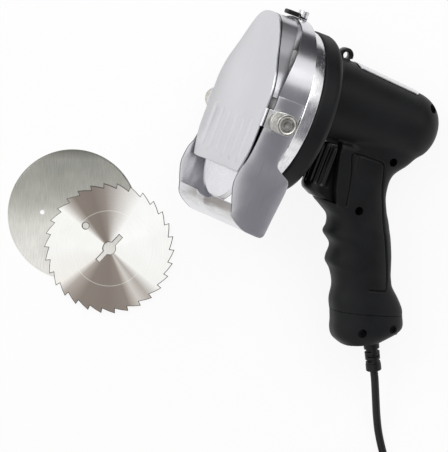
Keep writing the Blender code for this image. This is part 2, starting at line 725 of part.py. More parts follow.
# Spindle: tail in the gear case, body in the gear and the cover, nose for blade and nut
def make_spindle():
    floor = -CASE_DEPTH + CASE_WALL
    tail_end = -GEAR_WIDTH / 2
    nose = BLADE_PLANE - CLEAR
    end = BLADE_PLANE + BLADE_THICKNESS + NUT_DEPTH
    profile = (
        (floor + CLEAR, 0), (floor + CLEAR, SPINDLE_TAIL_RADIUS), (tail_end, SPINDLE_TAIL_RADIUS),
        (tail_end, SPINDLE_RADIUS), (nose, SPINDLE_RADIUS), (nose, SPINDLE_NOSE_RADIUS),
        (end, SPINDLE_NOSE_RADIUS), (end, 0))
    piece("blade_spindle", turned(profile, BUSH_SIDES), "nickel", blade_axis)
    rear_inner = SPINDLE_TAIL_RADIUS + CLEAR
    front_inner = SPINDLE_RADIUS + CLEAR
    rear = (floor + CLEAR, floor + REAR_BOSS)
    front = (COVER_DEPTH - COVER_WALL - FRONT_BOSS, COVER_DEPTH)
    for name, inner, (low, high) in (
            ("spindle_bush_rear", rear_inner, rear), ("spindle_bush_front", front_inner, front)):
        ring = ((low, inner), (low, inner + BUSH_WALL), (high, inner + BUSH_WALL), (high, inner))
        piece(name, turned(ring, BUSH_SIDES), "bronze", slicer, (0, 0, -SPINDLE_DROP))
    bore = SPINDLE_RADIUS + CLEAR
    face = BLADE_PLANE - CLEAR
    hub = piece("blade_hub", turned((
        (HUB_START, bore), (HUB_START, HUB_NECK_RADIUS), (face - HUB_FLANGE, HUB_NECK_RADIUS),
        (face - HUB_FLANGE, HUB_RADIUS), (face, HUB_RADIUS), (face, bore)), BUSH_SIDES), None, blade_axis)
    dog_low = SPINDLE_RADIUS + 2 * CLEAR
    dog_high = DRIVE_SLOT_LENGTH / 2 - CLEAR
    dog_half = DRIVE_SLOT_WIDTH / 2 - CLEAR
    dogs = [block((face - HUB_FLANGE / 2, -dog_half, side * dog_low if side > 0 else -dog_high),
                  (BLADE_PLANE + BLADE_THICKNESS, dog_half, dog_high if side > 0 else -dog_low))
            for side in (1, -1)]
    join(hub, *dogs)
    dress(hub, "dark_steel")
    low = BLADE_PLANE + BLADE_THICKNESS + CLEAR
    inner = SPINDLE_NOSE_RADIUS + CLEAR
    piece("blade_nut", turned((
        (low, inner), (low, NUT_RADIUS), (low + NUT_DEPTH * NUT_STEP_SHARE, NUT_RADIUS),
        (low + NUT_DEPTH, NUT_RADIUS * NUT_FACE_SHARE), (low + NUT_DEPTH, inner)), BUSH_SIDES),
        "nickel", blade_axis)


# Blades: the mounted one stands on the spindle, the spare ones lie flat on the table
def fitting_holes(low, high, across, slot_degrees, peg=None):
    """Centre hole, two drive slots and a peg hole, as cutters."""
    half_length = DRIVE_SLOT_LENGTH / 2
    half_width = DRIVE_SLOT_WIDTH / 2
    angle = math.radians(slot_degrees)
    slot = []
    for along, side in ((-1, -1), (1, -1), (1, 1), (-1, 1)):
        first = along * half_length
        second = side * half_width
        slot.append((first * math.cos(angle) - second * math.sin(angle),
                     first * math.sin(angle) + second * math.cos(angle)))
    holes = [rod(BLADE_HOLE, low, high, across, sides=BUSH_SIDES), sheet(slot, low, high, across)]
    if peg:
        radius, reach, degrees = peg
        holes.append(rod(radius, low, high, across, polar(reach, degrees)))
    return holes


def make_mounted_blade():
    low = BLADE_PLANE
    high = BLADE_PLANE + BLADE_THICKNESS
    shoulder = BLADE_RADIUS - BLADE_GRIND
    blade = piece("mounted_blade", turned((
        (low, 0), (low, BLADE_RADIUS), (low + BLADE_EDGE, BLADE_RADIUS), (high, shoulder),
        (high, 0)), LARGE_SIDES), None, blade_axis)
    cut(blade, *fitting_holes(low - OVERRUN, high + OVERRUN, "x", 90))
    dress(blade, "brushed_steel")


def make_spare_blades():
    smooth = piece("spare_smooth_blade", turned((
        (0, 0), (0, BLADE_RADIUS), (BLADE_EDGE, BLADE_RADIUS),
        (BLADE_THICKNESS, BLADE_RADIUS - BLADE_GRIND), (BLADE_THICKNESS, 0)), LARGE_SIDES),
        None, None, (0, 0, 0), (0, -math.pi / 2, 0))
    bpy.context.view_layer.update()
    smooth.data.transform(smooth.matrix_world)
    smooth.rotation_euler = (0, 0, 0)
    peg = (SMOOTH_PEG_HOLE, SMOOTH_PEG_PLACE, SMOOTH_PEG_ANGLE)
    cut(smooth, *fitting_holes(-OVERRUN, BLADE_THICKNESS + OVERRUN, "z", TOOTHED_SLOT_ANGLE, peg))
    smooth.parent = table_set
    smooth.location = (*SMOOTH_PLACE, 0)
    dress(smooth, "brushed_steel")
    outline = []
    for tooth in range(TOOTH_COUNT):
        step = 360 / TOOTH_COUNT
        outline += [polar(BLADE_RADIUS - TOOTH_DEPTH * deep, (tooth + share) * step)
                    for share, deep in TOOTH_SHAPE]
    toothed = piece("spare_toothed_blade", sheet(outline, 0, BLADE_THICKNESS, "z"), None)
    peg = (TOOTHED_PEG_HOLE, TOOTHED_PEG_PLACE, TOOTHED_PEG_ANGLE)
    cut(toothed, *fitting_holes(-OVERRUN, BLADE_THICKNESS + OVERRUN, "z", TOOTHED_SLOT_ANGLE, peg))
    toothed.parent = table_set
    toothed.location = (*TOOTHED_PLACE, BLADE_THICKNESS + CLEAR)
    dress(toothed, "bright_steel")


# Blade guard
def arch_front(degrees):
    """How far forward the guard's edge stands at an angle round its arch."""
    return WING_REACH * interpolate(ARCH_FRONT_SHARES, (90 - abs(90 - degrees)) / 90)


def guard_cover():
    """Arch with straight sides, as one sheet as long as the guard."""
    sides = []
    for half in (GUARD_HALF_WIDTH, GUARD_HALF_WIDTH - GUARD_SHEET):
        arc = [polar(half, 180 * step / ARCH_STEPS, (0, ARCH_RISE)) for step in range(ARCH_STEPS + 1)]
        sides.append([(half, -WING_DROP - OVERRUN)] + arc + [(-half, -WING_DROP - OVERRUN)])
    return sheet(sides[0] + sides[1][::-1], -OVERRUN, WING_REACH + OVERRUN, "x")


def make_blade_guard():
    inner = GUARD_HALF_WIDTH - GUARD_SHEET
    grip = GUARD_SHEET / 2
    guard = piece("blade_guard", guard_cover(), None, slicer)
    wing = [(WING_REACH * reach, -WING_DROP * drop) for reach, drop in WING_FRONT_SHARES + WING_REAR_SHARES]
    wing[-1] = (GUARD_REAR, wing[-2][1])
    top = ARCH_RISE + GUARD_HALF_WIDTH + OVERRUN
    side_view = [(arch_front(degrees), ARCH_RISE + GUARD_HALF_WIDTH * math.sin(math.radians(degrees)))
                 for degrees in range(0, 91, 15)]
    side_view = [(GUARD_REAR, top), (side_view[-1][0], top)] + side_view[::-1]
    reach = GUARD_HALF_WIDTH + OVERRUN
    combine(guard, [sheet(side_view + wing, -reach, reach, "y")], "INTERSECT")
    web = [(-inner - grip, -WEB_DROP), (inner + grip, -WEB_DROP)]
    web += [polar(inner + grip, 180 * step / ARCH_STEPS, (0, ARCH_RISE)) for step in range(ARCH_STEPS + 1)]
    web_rear = GUARD_REAR + WEB_INSET
    web_sheet = sheet(web, web_rear, web_rear + GUARD_SHEET, "x")
    tray_path = [Vector(point) for point in wing[LIP_INDEX:len(WING_FRONT_SHARES)]]
    upper = []
    under = []
    for index, point in enumerate(tray_path):
        before = tray_path[max(index - 1, 0)]
        after = tray_path[min(index + 1, len(tray_path) - 1)]
        along = (after - before).normalized()
        inward = Vector((along.y, -along.x))
        under.append(tuple(point + inward * TRAY_INSET))
        upper.append(tuple(point + inward * (TRAY_INSET + GUARD_SHEET)))
    tray = sheet(under + upper[::-1], -inner - grip, inner + grip, "y")
    nuts = [rod(WELD_NUT_RADIUS, side * (inner - WELD_NUT_DEPTH), side * (inner + grip),
                "y", (THUMB_PLACE, -THUMB_DROP)) for side in (1, -1)]
    join(guard, web_sheet, tray, *nuts)
    lip_top = -WING_DROP * WING_FRONT_SHARES[LIP_INDEX][1]
    holes = [rod(THUMB_SHANK_RADIUS + CLEAR, -reach, reach, "y", (THUMB_PLACE, -THUMB_DROP)),
             rod(WEB_HOLE, GUARD_REAR - OVERRUN, GUARD_REAR + GUARD_SHEET + OVERRUN, "x", (0, 0),
                 LARGE_SIDES),
             rod(TOP_SCREW_RADIUS + CLEAR, 0, ARCH_RISE + reach, "z", (TOP_SCREW_PLACE, 0)),
             sheet(((-LIP_DIP_HALF_WIDTH, lip_top + OVERRUN), (-LIP_DIP_HALF_WIDTH, lip_top),
                    (-LIP_DIP_HALF_WIDTH / 2, lip_top - LIP_DIP), (LIP_DIP_HALF_WIDTH / 2, lip_top - LIP_DIP),
                    (LIP_DIP_HALF_WIDTH, lip_top), (LIP_DIP_HALF_WIDTH, lip_top + OVERRUN)),
                   BLADE_PLANE + BLADE_THICKNESS, WING_REACH + OVERRUN, "x")]
    for angle in POST_ANGLES:
        holes.append(rod(HEAD_SCREW_RADIUS + CLEAR, GUARD_REAR - OVERRUN,
                         GUARD_REAR + GUARD_SHEET + OVERRUN, "x", polar(POST_CIRCLE_RADIUS, angle)))
    cut(guard, *holes)
    dress(guard, "brushed_steel")


# Gauge plate, modelled about its own place so that it slides from there
def plate_outline():
    low = [(PLATE_HALF_WIDTH * side, PLATE_BOTTOM * height) for side, height in PLATE_LOW_SHARES]
    high = [(PLATE_HALF_WIDTH * side, PLATE_TOP * height) for side, height in PLATE_HIGH_SHARES]
    half = low + high
    return half + [(-side, height) for side, height in reversed(half[:-1])]


def make_gauge_plate():
    outline = plate_outline()
    plate = piece("gauge_plate", sheet(outline, 0, PLATE_SHEET, "x"), None, gauge_slide)
    rim_points = [Vector(point) for point in outline if point[1] > 0]
    rings = []
    for index, point in enumerate(rim_points):
        before = rim_points[max(index - 1, 0)]
        after = rim_points[min(index + 1, len(rim_points) - 1)]
        along = (after - before).normalized()
        inside = point + Vector((-along.y, along.x)) * PLATE_SHEET
        share = point.y / PLATE_TOP
        depth = RIM_SIDE_DEPTH + (RIM_TOP_DEPTH - RIM_SIDE_DEPTH) * share
        rings.append([(PLATE_SHEET / 2, *point), (-depth, *point), (-depth, *inside),
                      (PLATE_SHEET / 2, *inside)])
    added = [loft(rings)]
    tab_low = -THUMB_DROP - TAB_WIDTH / 2
    tab_high = -THUMB_DROP + TAB_WIDTH / 2
    tab_inner = GUARD_HALF_WIDTH + CLEAR
    tab_outer = tab_inner + TAB_SHEET
    slot_back = THUMB_PLACE - PLATE_TRAVEL_FORWARD - THUMB_SHANK_RADIUS - CLEAR - PLATE_FACE
    slot_front = THUMB_PLACE + PLATE_TRAVEL_BACK + THUMB_SHANK_RADIUS + CLEAR - PLATE_FACE
    for side in (1, -1):
        root = PLATE_HALF_WIDTH - PLATE_SHEET
        bend = ((0, side * root), (PLATE_SHEET, side * root), (PLATE_SHEET, side * tab_outer),
                (slot_back - TAB_MARGIN, side * tab_outer), (slot_back - TAB_MARGIN, side * tab_inner),
                (0, side * tab_inner))
        added.append(sheet(bend, tab_low, tab_high, "z"))
    for count in range(RIB_COUNT):
        middle = (count - (RIB_COUNT - 1) / 2) * RIB_SPACING
        half = RIB_WIDTH / 2
        slim = half * RIB_END_SHARE
        ends = ((RIB_BOTTOM, slim), (RIB_BOTTOM + half, half), (RIB_TOP - half, half), (RIB_TOP, slim))
        sections = []
        for height, spread in ends:
            rise = PLATE_SHEET + (RIB_HEIGHT if spread == half else 0) + CLEAR / 10
            left, right = middle - spread, middle + spread
            sections.append([
                (PLATE_SHEET / 2, left, height), (PLATE_SHEET, left, height),
                (rise, middle - spread * RIB_TOP_SHARE, height),
                (rise, middle + spread * RIB_TOP_SHARE, height),
                (PLATE_SHEET, right, height), (PLATE_SHEET / 2, right, height)])
        added.append(loft(sections))
    join(plate, *added)
    slots = [block((slot_back, side * tab_inner - OVERRUN, -THUMB_DROP - THUMB_SHANK_RADIUS - CLEAR),
                   (slot_front, side * tab_inner + OVERRUN, -THUMB_DROP + THUMB_SHANK_RADIUS + CLEAR))
             for side in (1, -1)]
    cut(plate, *slots)
    dress(plate, "satin_plate")


# Thumb screws: shank through guard and tab, collar, groove and knurled head
def make_thumb_screws():
    tab_outer = GUARD_HALF_WIDTH + CLEAR + TAB_SHEET
    washer_low = CLEAR
    washer_high = washer_low + WASHER_THICKNESS
    collar = washer_high + CLEAR
    groove = collar + COLLAR_LENGTH
    head = groove + GROOVE_LENGTH
    end = head + THUMB_HEAD_LENGTH
    shank_start = GUARD_HALF_WIDTH - GUARD_SHEET - THUMB_SHANK_INSIDE - tab_outer
    for side, name in ((1, "left"), (-1, "right")):
        holder = empty("thumb_axis_" + name, slicer, (THUMB_PLACE, side * tab_outer, -THUMB_DROP))
        holder.rotation_euler = (0, 0, side * math.pi / 2)
        profile = (
            (shank_start, 0), (shank_start, THUMB_SHANK_RADIUS), (collar, THUMB_SHANK_RADIUS),
            (collar, COLLAR_RADIUS), (groove, COLLAR_RADIUS), (groove, GROOVE_RADIUS),
            (head, GROOVE_RADIUS), (head, THUMB_HEAD_RADIUS), (end - THUMB_EDGE, THUMB_HEAD_RADIUS),
            (end, THUMB_HEAD_RADIUS - THUMB_EDGE), (end, 0))
        knurl = (head - GROOVE_LENGTH / 2, end - THUMB_EDGE / 2)
        piece("thumb_screw_" + name, turned(profile, MIDDLE_SIDES, knurl), "nickel", holder)
        bore = THUMB_SHANK_RADIUS + CLEAR
        ring = ((washer_low, bore), (washer_low, WASHER_RADIUS), (washer_high, WASHER_RADIUS),
                (washer_high, bore))
        piece("thumb_washer_" + name, turned(ring), "nickel", holder)


# Buffer on the guard's top, held by a small screw
def make_top_buffer():
    seat = ARCH_RISE + GUARD_HALF_WIDTH + CLEAR
    top = seat + BUFFER_TONGUE
    half = BUFFER_WIDTH / 2
    tongue_start = TOP_SCREW_PLACE - TOP_SCREW_HEAD_RADIUS
    pad = piece("rubber_buffer", block((BUFFER_START, -half, seat),
                                       (BUFFER_START + BUFFER_LENGTH, half, seat + BUFFER_THICKNESS)),
                None, slicer)
    join(pad, block((tongue_start, -TOP_SCREW_HEAD_RADIUS, seat),
                    (BUFFER_START + BUFFER_TONGUE, TOP_SCREW_HEAD_RADIUS, top)))
    cut(pad, rod(TOP_SCREW_RADIUS + CLEAR, seat - OVERRUN, top + OVERRUN, "z", (TOP_SCREW_PLACE, 0)))
    dress(pad, "black_rubber")
    low = top + CLEAR
    shaft_end = low - TOP_SCREW_INSIDE - BUFFER_TONGUE
    profile = (
        (shaft_end - low, 0), (shaft_end - low, TOP_SCREW_RADIUS), (0, TOP_SCREW_RADIUS),
        (0, TOP_SCREW_HEAD_RADIUS), (TOP_SCREW_HEAD, TOP_SCREW_HEAD_RADIUS), (TOP_SCREW_HEAD, 0))
    piece("top_screw", turned(profile, SCREW_SIDES), "bright_steel", slicer, (TOP_SCREW_PLACE, 0, low),
          (0, -math.pi / 2, 0))


# Housing: a tapered barrel with a dome behind, and a handle that is skinned over its sections
def barrel_radius(back):
    """Outer radius of the barrel at a distance behind the head's zero plane."""
    dome_start = BARREL_START + BARREL_STRAIGHT
    if back > dome_start:
        share = (back - dome_start) / BARREL_DOME
        return BARREL_REAR_RADIUS * (1 - share ** DOME_POWER) ** (1 / DOME_POWER)
    share = (back - BARREL_START) / BARREL_STRAIGHT
    flare = max(1 - (back - BARREL_START) / BARREL_FLARE_LENGTH, 0)
    return (BARREL_FRONT_RADIUS + (BARREL_REAR_RADIUS - BARREL_FRONT_RADIUS) * share
            + BARREL_FLARE * flare ** 2)


def barrel_form(inset, front):
    dome_start = BARREL_START + BARREL_STRAIGHT
    flare_end = BARREL_START + BARREL_FLARE_LENGTH
    profile = [(-front, 0)]
    for step in range(FLARE_STEPS + 1):
        back = front + (flare_end - front) * step / FLARE_STEPS
        profile.append((-back, barrel_radius(back) - inset))
    rear = BARREL_REAR_RADIUS - inset
    dome = BARREL_DOME - inset
    for step in range(DOME_STEPS + 1):
        angle = math.radians(DOME_LAST_ANGLE) * step / DOME_STEPS
        profile.append((-dome_start - dome * math.sin(angle) ** (2 / DOME_POWER),
                        rear * math.cos(angle) ** (2 / DOME_POWER)))
    profile.append((profile[-1][0], 0))
    form = turned(profile, MIDDLE_SIDES)
    bmesh.ops.translate(form, verts=form.verts, vec=(0, 0, MOTOR_RISE))
    return form


def handle_place(reach_share, drop_share):
    """Where a share of the handle's reach and drop lies, seen from the side."""
    passed = (drop_share - ROOT_LOW_SHARE) / (ROOT_END_SHARE - ROOT_LOW_SHARE)
    reach = ROOT_REACH + (HANDLE_REACH - ROOT_REACH) * min(max(passed, 0), 1)
    return (-reach * reach_share, -HANDLE_DROP * drop_share)


def section(shares, inset):
    """One rounded section of the handle or its cap, inset all round from the outer skin."""
    front, rear = (Vector((place[0], 0, place[1]))
                   for place in (handle_place(*shares[:2]), handle_place(*shares[2:4])))
    middle = (front + rear) / 2
    half = (front - rear) / 2
    half = half * (1 - inset / half.length)
    width = HANDLE_HALF_WIDTH * shares[4] - inset
    ring = []
    for step in range(HANDLE_SIDES):
        angle = 2 * math.pi * (step + 0.5) / HANDLE_SIDES
        forward, side = math.cos(angle), math.sin(angle)
        forward = math.copysign(abs(forward) ** (2 / HANDLE_POWER), forward)
        side = math.copysign(abs(side) ** (2 / HANDLE_POWER), side)
        ring.append(middle + half * forward + Vector((0, width * side, 0)))
    return ring


def drawn_out(ring, neighbour, distance):
    """A copy of an end ring, moved on beyond it by a distance."""
    centre = sum(ring, Vector()) / len(ring)
    step = (centre - sum(neighbour, Vector()) / len(neighbour)).normalized() * distance
    return [point + step for point in ring]


def housing_form(inset, front):
    """Barrel and handle as one solid, at an inset from the outer skin."""
    rings = [section(shares, inset) for shares in HANDLE_SHARES]
    if inset:
        rings[-1] = drawn_out(rings[-1], rings[-2], OVERRUN)
    form = piece("housing_form", loft(rings), None)
    join(form, barrel_form(inset, front))
    return form


def make_housing():
    start = BARREL_START
    inner_front = start + BARREL_FRONT_WALL
    width = barrel_radius(start) + OVERRUN
    low = (-HANDLE_REACH - OVERRUN, 0, -HANDLE_DROP - OVERRUN)
    high = (0, 0, MOTOR_RISE + width)
    for side, name in ((1, "left"), (-1, "right")):
        shell = housing_form(0, start)
        shell.name = "housing_" + name
        cut(shell, as_shape(housing_form(SHELL_WALL, inner_front)))
        added = []
        for shares in BOSS_SHARES:
            reach = HANDLE_HALF_WIDTH * shares[2] * side
            added.append(rod(BOSS_RADIUS, 0, reach, "y", handle_place(*shares[:2])))
        cradle_back = -TRIGGER_BACK - SWITCH_GAP - SWITCH_LENGTH / 2
        cradle_drop = -(SWITCH_TOP + SWITCH_BOTTOM) / 2
        near = side * (SWITCH_HALF_WIDTH + CLEAR)
        far = side * HANDLE_HALF_WIDTH * CRADLE_OUTER_SHARE
        added.append(block(
            (cradle_back - CRADLE_LENGTH / 2, min(near, far), cradle_drop - CRADLE_HEIGHT / 2),
            (cradle_back + CRADLE_LENGTH / 2, max(near, far), cradle_drop + CRADLE_HEIGHT / 2)))
        join(shell, *added)
        cuts = [rod(BARREL_MOUTH, -inner_front - OVERRUN, -start + OVERRUN, "x", (0, MOTOR_RISE),
                    MIDDLE_SIDES)]
        trigger_side = TRIGGER_HALF_WIDTH + CLEAR
        cuts.append(block((-TRIGGER_BACK, -trigger_side, -TRIGGER_BOTTOM - CLEAR),
                          (-TRIGGER_FRONT + OVERRUN, trigger_side, -TRIGGER_TOP + CLEAR)))
        for shares in BOSS_SHARES:
            place = handle_place(*shares[:2])
            hole = SHELL_SCREW_RADIUS + CLEAR
            if side > 0:
                cuts.append(rod(hole, -OVERRUN, SHELL_SCREW_SEAT + OVERRUN, "y", place))
                cuts.append(rod(SHELL_SCREW_HEAD_RADIUS + CLEAR, SHELL_SCREW_SEAT, width, "y", place))
            else:
                cuts.append(rod(hole, -SHELL_SCREW_DEPTH, OVERRUN, "y", place))
        for angle in CASE_SCREW_ANGLES:
            cuts.append(rod(CASE_SCREW_RADIUS + CLEAR, -inner_front - OVERRUN, -start + OVERRUN, "x",
                            polar(CASE_SCREW_CIRCLE_RADIUS, angle, (0, MOTOR_RISE))))
        cuts.append(eye_root(CLEAR))
        other = [low[0], -width if side > 0 else -CLEAR / 2, low[2]]
        end = [high[0], CLEAR / 2 if side > 0 else width, high[2]]
        cuts.append(block(other, end))
        cut(shell, *cuts)
        shell.parent = slicer
        dress(shell, "black_moulding")
    for count, shares in enumerate(BOSS_SHARES, 1):
        place = handle_place(*shares[:2])
        seat = SHELL_SCREW_SEAT + CLEAR
        tip = -SHELL_SCREW_DEPTH + CLEAR
        profile = (
            (tip, 0), (tip, SHELL_SCREW_RADIUS), (seat, SHELL_SCREW_RADIUS),
            (seat, SHELL_SCREW_HEAD_RADIUS), (seat + SHELL_SCREW_HEAD, SHELL_SCREW_HEAD_RADIUS),
            (seat + SHELL_SCREW_HEAD, 0))
        piece("housing_screw_%d" % count, turned(profile, SCREW_SIDES), "dark_steel", slicer,
              (place[0], 0, place[1]), (0, 0, math.pi / 2))


# Hanging eye: its root stands in a slot of both shells, on top of the barrel
def eye_root(gap):
    top = MOTOR_RISE + barrel_radius(EYE_PLACE)
    return block((-EYE_PLACE - EYE_ROOT - gap, -EYE_HALF_WIDTH - gap, top - SHELL_WALL - OVERRUN),
                 (-EYE_PLACE + EYE_ROOT + gap, EYE_HALF_WIDTH + gap, top + EYE_RISE))


def make_hanging_eye():
    top = MOTOR_RISE + barrel_radius(EYE_PLACE)
    centre = (-EYE_PLACE, top + EYE_RISE)
    eye = piece("hanging_eye", rod(EYE_RADIUS, -EYE_HALF_WIDTH, EYE_HALF_WIDTH, "y", centre), None, slicer)
    cut(eye, block((-EYE_PLACE - EYE_RADIUS - OVERRUN, -EYE_HALF_WIDTH - OVERRUN, top - EYE_RADIUS),
                   (-EYE_PLACE + EYE_RADIUS + OVERRUN, EYE_HALF_WIDTH + OVERRUN, top + CLEAR * 2)))
    join(eye, eye_root(0))
    cut(eye, rod(EYE_HOLE, -EYE_HALF_WIDTH - OVERRUN, EYE_HALF_WIDTH + OVERRUN, "y", centre))
    dress(eye, "black_gloss")


# Blank label plate, curved over the barrel's top
def make_label_plate():
    rings = []
    for step in range(LABEL_STEPS + 1):
        angle = math.radians(90 - LABEL_HALF_ANGLE + 2 * LABEL_HALF_ANGLE * step / LABEL_STEPS)
        ring = []
        for back, rise in ((LABEL_START, CLEAR), (LABEL_END, CLEAR), (LABEL_END, CLEAR + LABEL_THICKNESS),
                           (LABEL_START, CLEAR + LABEL_THICKNESS)):
            radius = barrel_radius(back) + rise
            ring.append((-back, radius * math.cos(angle), MOTOR_RISE + radius * math.sin(angle)))
        rings.append(ring)
    piece("label_plate", loft(rings), "pale_plate", slicer)


# Handle cap: a cup below the handle, with a clamp block inside it
def cap_rings(inset, count):
    return [section(shares, inset) for shares in CAP_SHARES[:count]]


def relief_place():
    return Vector((-HANDLE_REACH * RELIEF_PLACE_SHARES[0], 0, -HANDLE_DROP * RELIEF_PLACE_SHARES[1]))


def relief_matrix():
    """Axes of the strain relief: its own X points out along the cord."""
    tilt = math.radians(90 + RELIEF_TILT)
    return Matrix.Translation(relief_place()) @ Matrix.Rotation(tilt, 4, "Y")


def make_handle_cap():
    cap = piece("handle_cap", loft(cap_rings(0, len(CAP_SHARES))), None, slicer)
    hollow = cap_rings(SHELL_WALL, len(CAP_SHARES) - 1)
    hollow[0] = drawn_out(hollow[0], hollow[1], OVERRUN)
    holes = [loft(hollow)]
    bore = rod(RELIEF_RADIUS + CLEAR, -RELIEF_LENGTH, RELIEF_LENGTH, "x")
    bore.transform(relief_matrix())
    holes.append(bore)
    for shares in CAP_SCREW_SHARES:
        place = handle_place(*shares)
        holes.append(rod(SHELL_SCREW_RADIUS + CLEAR, 0, HANDLE_HALF_WIDTH + OVERRUN, "y", place))
        holes.append(rod(SHELL_SCREW_HEAD_RADIUS + CLEAR, CAP_SCREW_SEAT + CAP_SCREW_GAP,
                         HANDLE_HALF_WIDTH + OVERRUN * 2, "y", place))
    cut(cap, *holes)
    dress(cap, "black_moulding")
    inset = SHELL_WALL + CLEAR
    clamp = piece("cable_clamp", loft(cap_rings(inset, 3)), None, slicer)
    channel = rod(CORD_RADIUS + CLEAR, -BARREL_LENGTH, RELIEF_LENGTH, "x")
    channel.transform(relief_matrix())
    pocket = rod(RELIEF_RADIUS + RELIEF_FLANGE + CLEAR * 2, -RELIEF_INSIDE - CLEAR * 2, RELIEF_LENGTH, "x")
    pocket.transform(relief_matrix())
    clamp_cuts = [channel, pocket]
    for shares in CAP_SCREW_SHARES:
        clamp_cuts.append(rod(SHELL_SCREW_RADIUS + CLEAR, CAP_SCREW_END, HANDLE_HALF_WIDTH, "y",
                              handle_place(*shares)))
    cut(clamp, *clamp_cuts)
    dress(clamp, "black_moulding")
    for count, shares in enumerate(CAP_SCREW_SHARES, 1):
        place = handle_place(*shares)
        seat = CAP_SCREW_SEAT + CAP_SCREW_GAP + CLEAR
        tip = CAP_SCREW_END + CLEAR
        profile = (
            (tip, 0), (tip, SHELL_SCREW_RADIUS), (seat, SHELL_SCREW_RADIUS),
            (seat, SHELL_SCREW_HEAD_RADIUS), (seat + SHELL_SCREW_HEAD / 2, SHELL_SCREW_HEAD_RADIUS),
            (seat + SHELL_SCREW_HEAD / 2, 0))
        piece("cap_screw_%d" % count, turned(profile, SCREW_SIDES), "dark_steel", slicer,
              (place[0], 0, place[1]), (0, 0, math.pi / 2))


# Strain relief: a ringed rubber sleeve in the cap's bottom
def make_strain_relief():
    profile = [(-RELIEF_INSIDE, 0), (-RELIEF_INSIDE, RELIEF_RADIUS + RELIEF_FLANGE),
               (-RELIEF_INSIDE + RELIEF_FLANGE, RELIEF_RADIUS + RELIEF_FLANGE),
               (-RELIEF_INSIDE + RELIEF_FLANGE, RELIEF_RADIUS)]
    for ring in range(RELIEF_RINGS):
        low = RELIEF_LENGTH * (RELIEF_RING_START + RELIEF_RING_STEP * ring)
        taper = RELIEF_RADIUS + (RELIEF_TIP_RADIUS - RELIEF_RADIUS) * ring / RELIEF_RINGS
        waist = taper * RELIEF_WAIST_SHARE
        profile += [(low, taper), (low + RELIEF_FLANGE / 2, waist), (low + RELIEF_FLANGE * 1.5, waist),
                    (low + RELIEF_FLANGE * 2, taper)]
    profile += [(RELIEF_LENGTH, RELIEF_TIP_RADIUS), (RELIEF_LENGTH, 0)]
    relief = piece("strain_relief", turned(profile), None, slicer)
    relief.matrix_local = relief_matrix()
    dress(relief, "black_rubber")


# Trigger: a ribbed finger lever that slides back against a spring
def trigger_face(lift):
    """Side outline of the trigger, about the middle of its back edge's top."""
    height = TRIGGER_BOTTOM - TRIGGER_TOP
    face = [(TRIGGER_DEPTH * forward, -height * down) for forward, down in TRIGGER_FACE_SHARES]
    raised = [(forward + (lift if 1 < index < 6 else 0), down) for index, (forward, down) in enumerate(face)]
    return [(0, 0)] + raised + [(0, -height)]


def make_trigger():
    slices = 2 * TRIGGER_RIBS + 1
    rings = []
    for count in range(slices):
        lift = TRIGGER_RIB_HEIGHT if count % 2 else 0
        slim = TRIGGER_RIB_HEIGHT / 4
        for edge in (count, count + 1):
            side = -TRIGGER_HALF_WIDTH + 2 * TRIGGER_HALF_WIDTH * edge / slices
            shift = slim if edge == count else -slim
            if (count == 0 and edge == 0) or (count == slices - 1 and edge == slices):
                shift = 0
            rings.append([(forward, side + shift, down) for forward, down in trigger_face(lift)])
    trigger = piece("trigger", loft(rings), None, trigger_slide)
    middle = -(TRIGGER_BOTTOM - TRIGGER_TOP) / 2
    cut(trigger, rod(SPRING_RADIUS + SPRING_WIRE + CLEAR * 2, -OVERRUN, SPRING_POCKET, "x", (0, middle)))
    dress(trigger, "black_gloss")
    low = -SWITCH_GAP + CLEAR
    high = SPRING_POCKET - CLEAR
    points = []
    steps = SPRING_TURNS * SPRING_TURN_STEPS
    for step in range(steps + 1):
        angle = 2 * math.pi * step / SPRING_TURN_STEPS
        along = low + SPRING_WIRE + (high - low - 2 * SPRING_WIRE) * step / steps
        points.append((along, SPRING_RADIUS * math.cos(angle), middle + SPRING_RADIUS * math.sin(angle)))
    spring = tube("trigger_spring", points, SPRING_WIRE, "nickel", 0)
    spring.parent = trigger_slide
    front = -TRIGGER_BACK - SWITCH_GAP
    piece("switch_body", block((front - SWITCH_LENGTH, -SWITCH_HALF_WIDTH, -SWITCH_BOTTOM),
                               (front, SWITCH_HALF_WIDTH, -SWITCH_TOP)), "black_gloss", slicer)


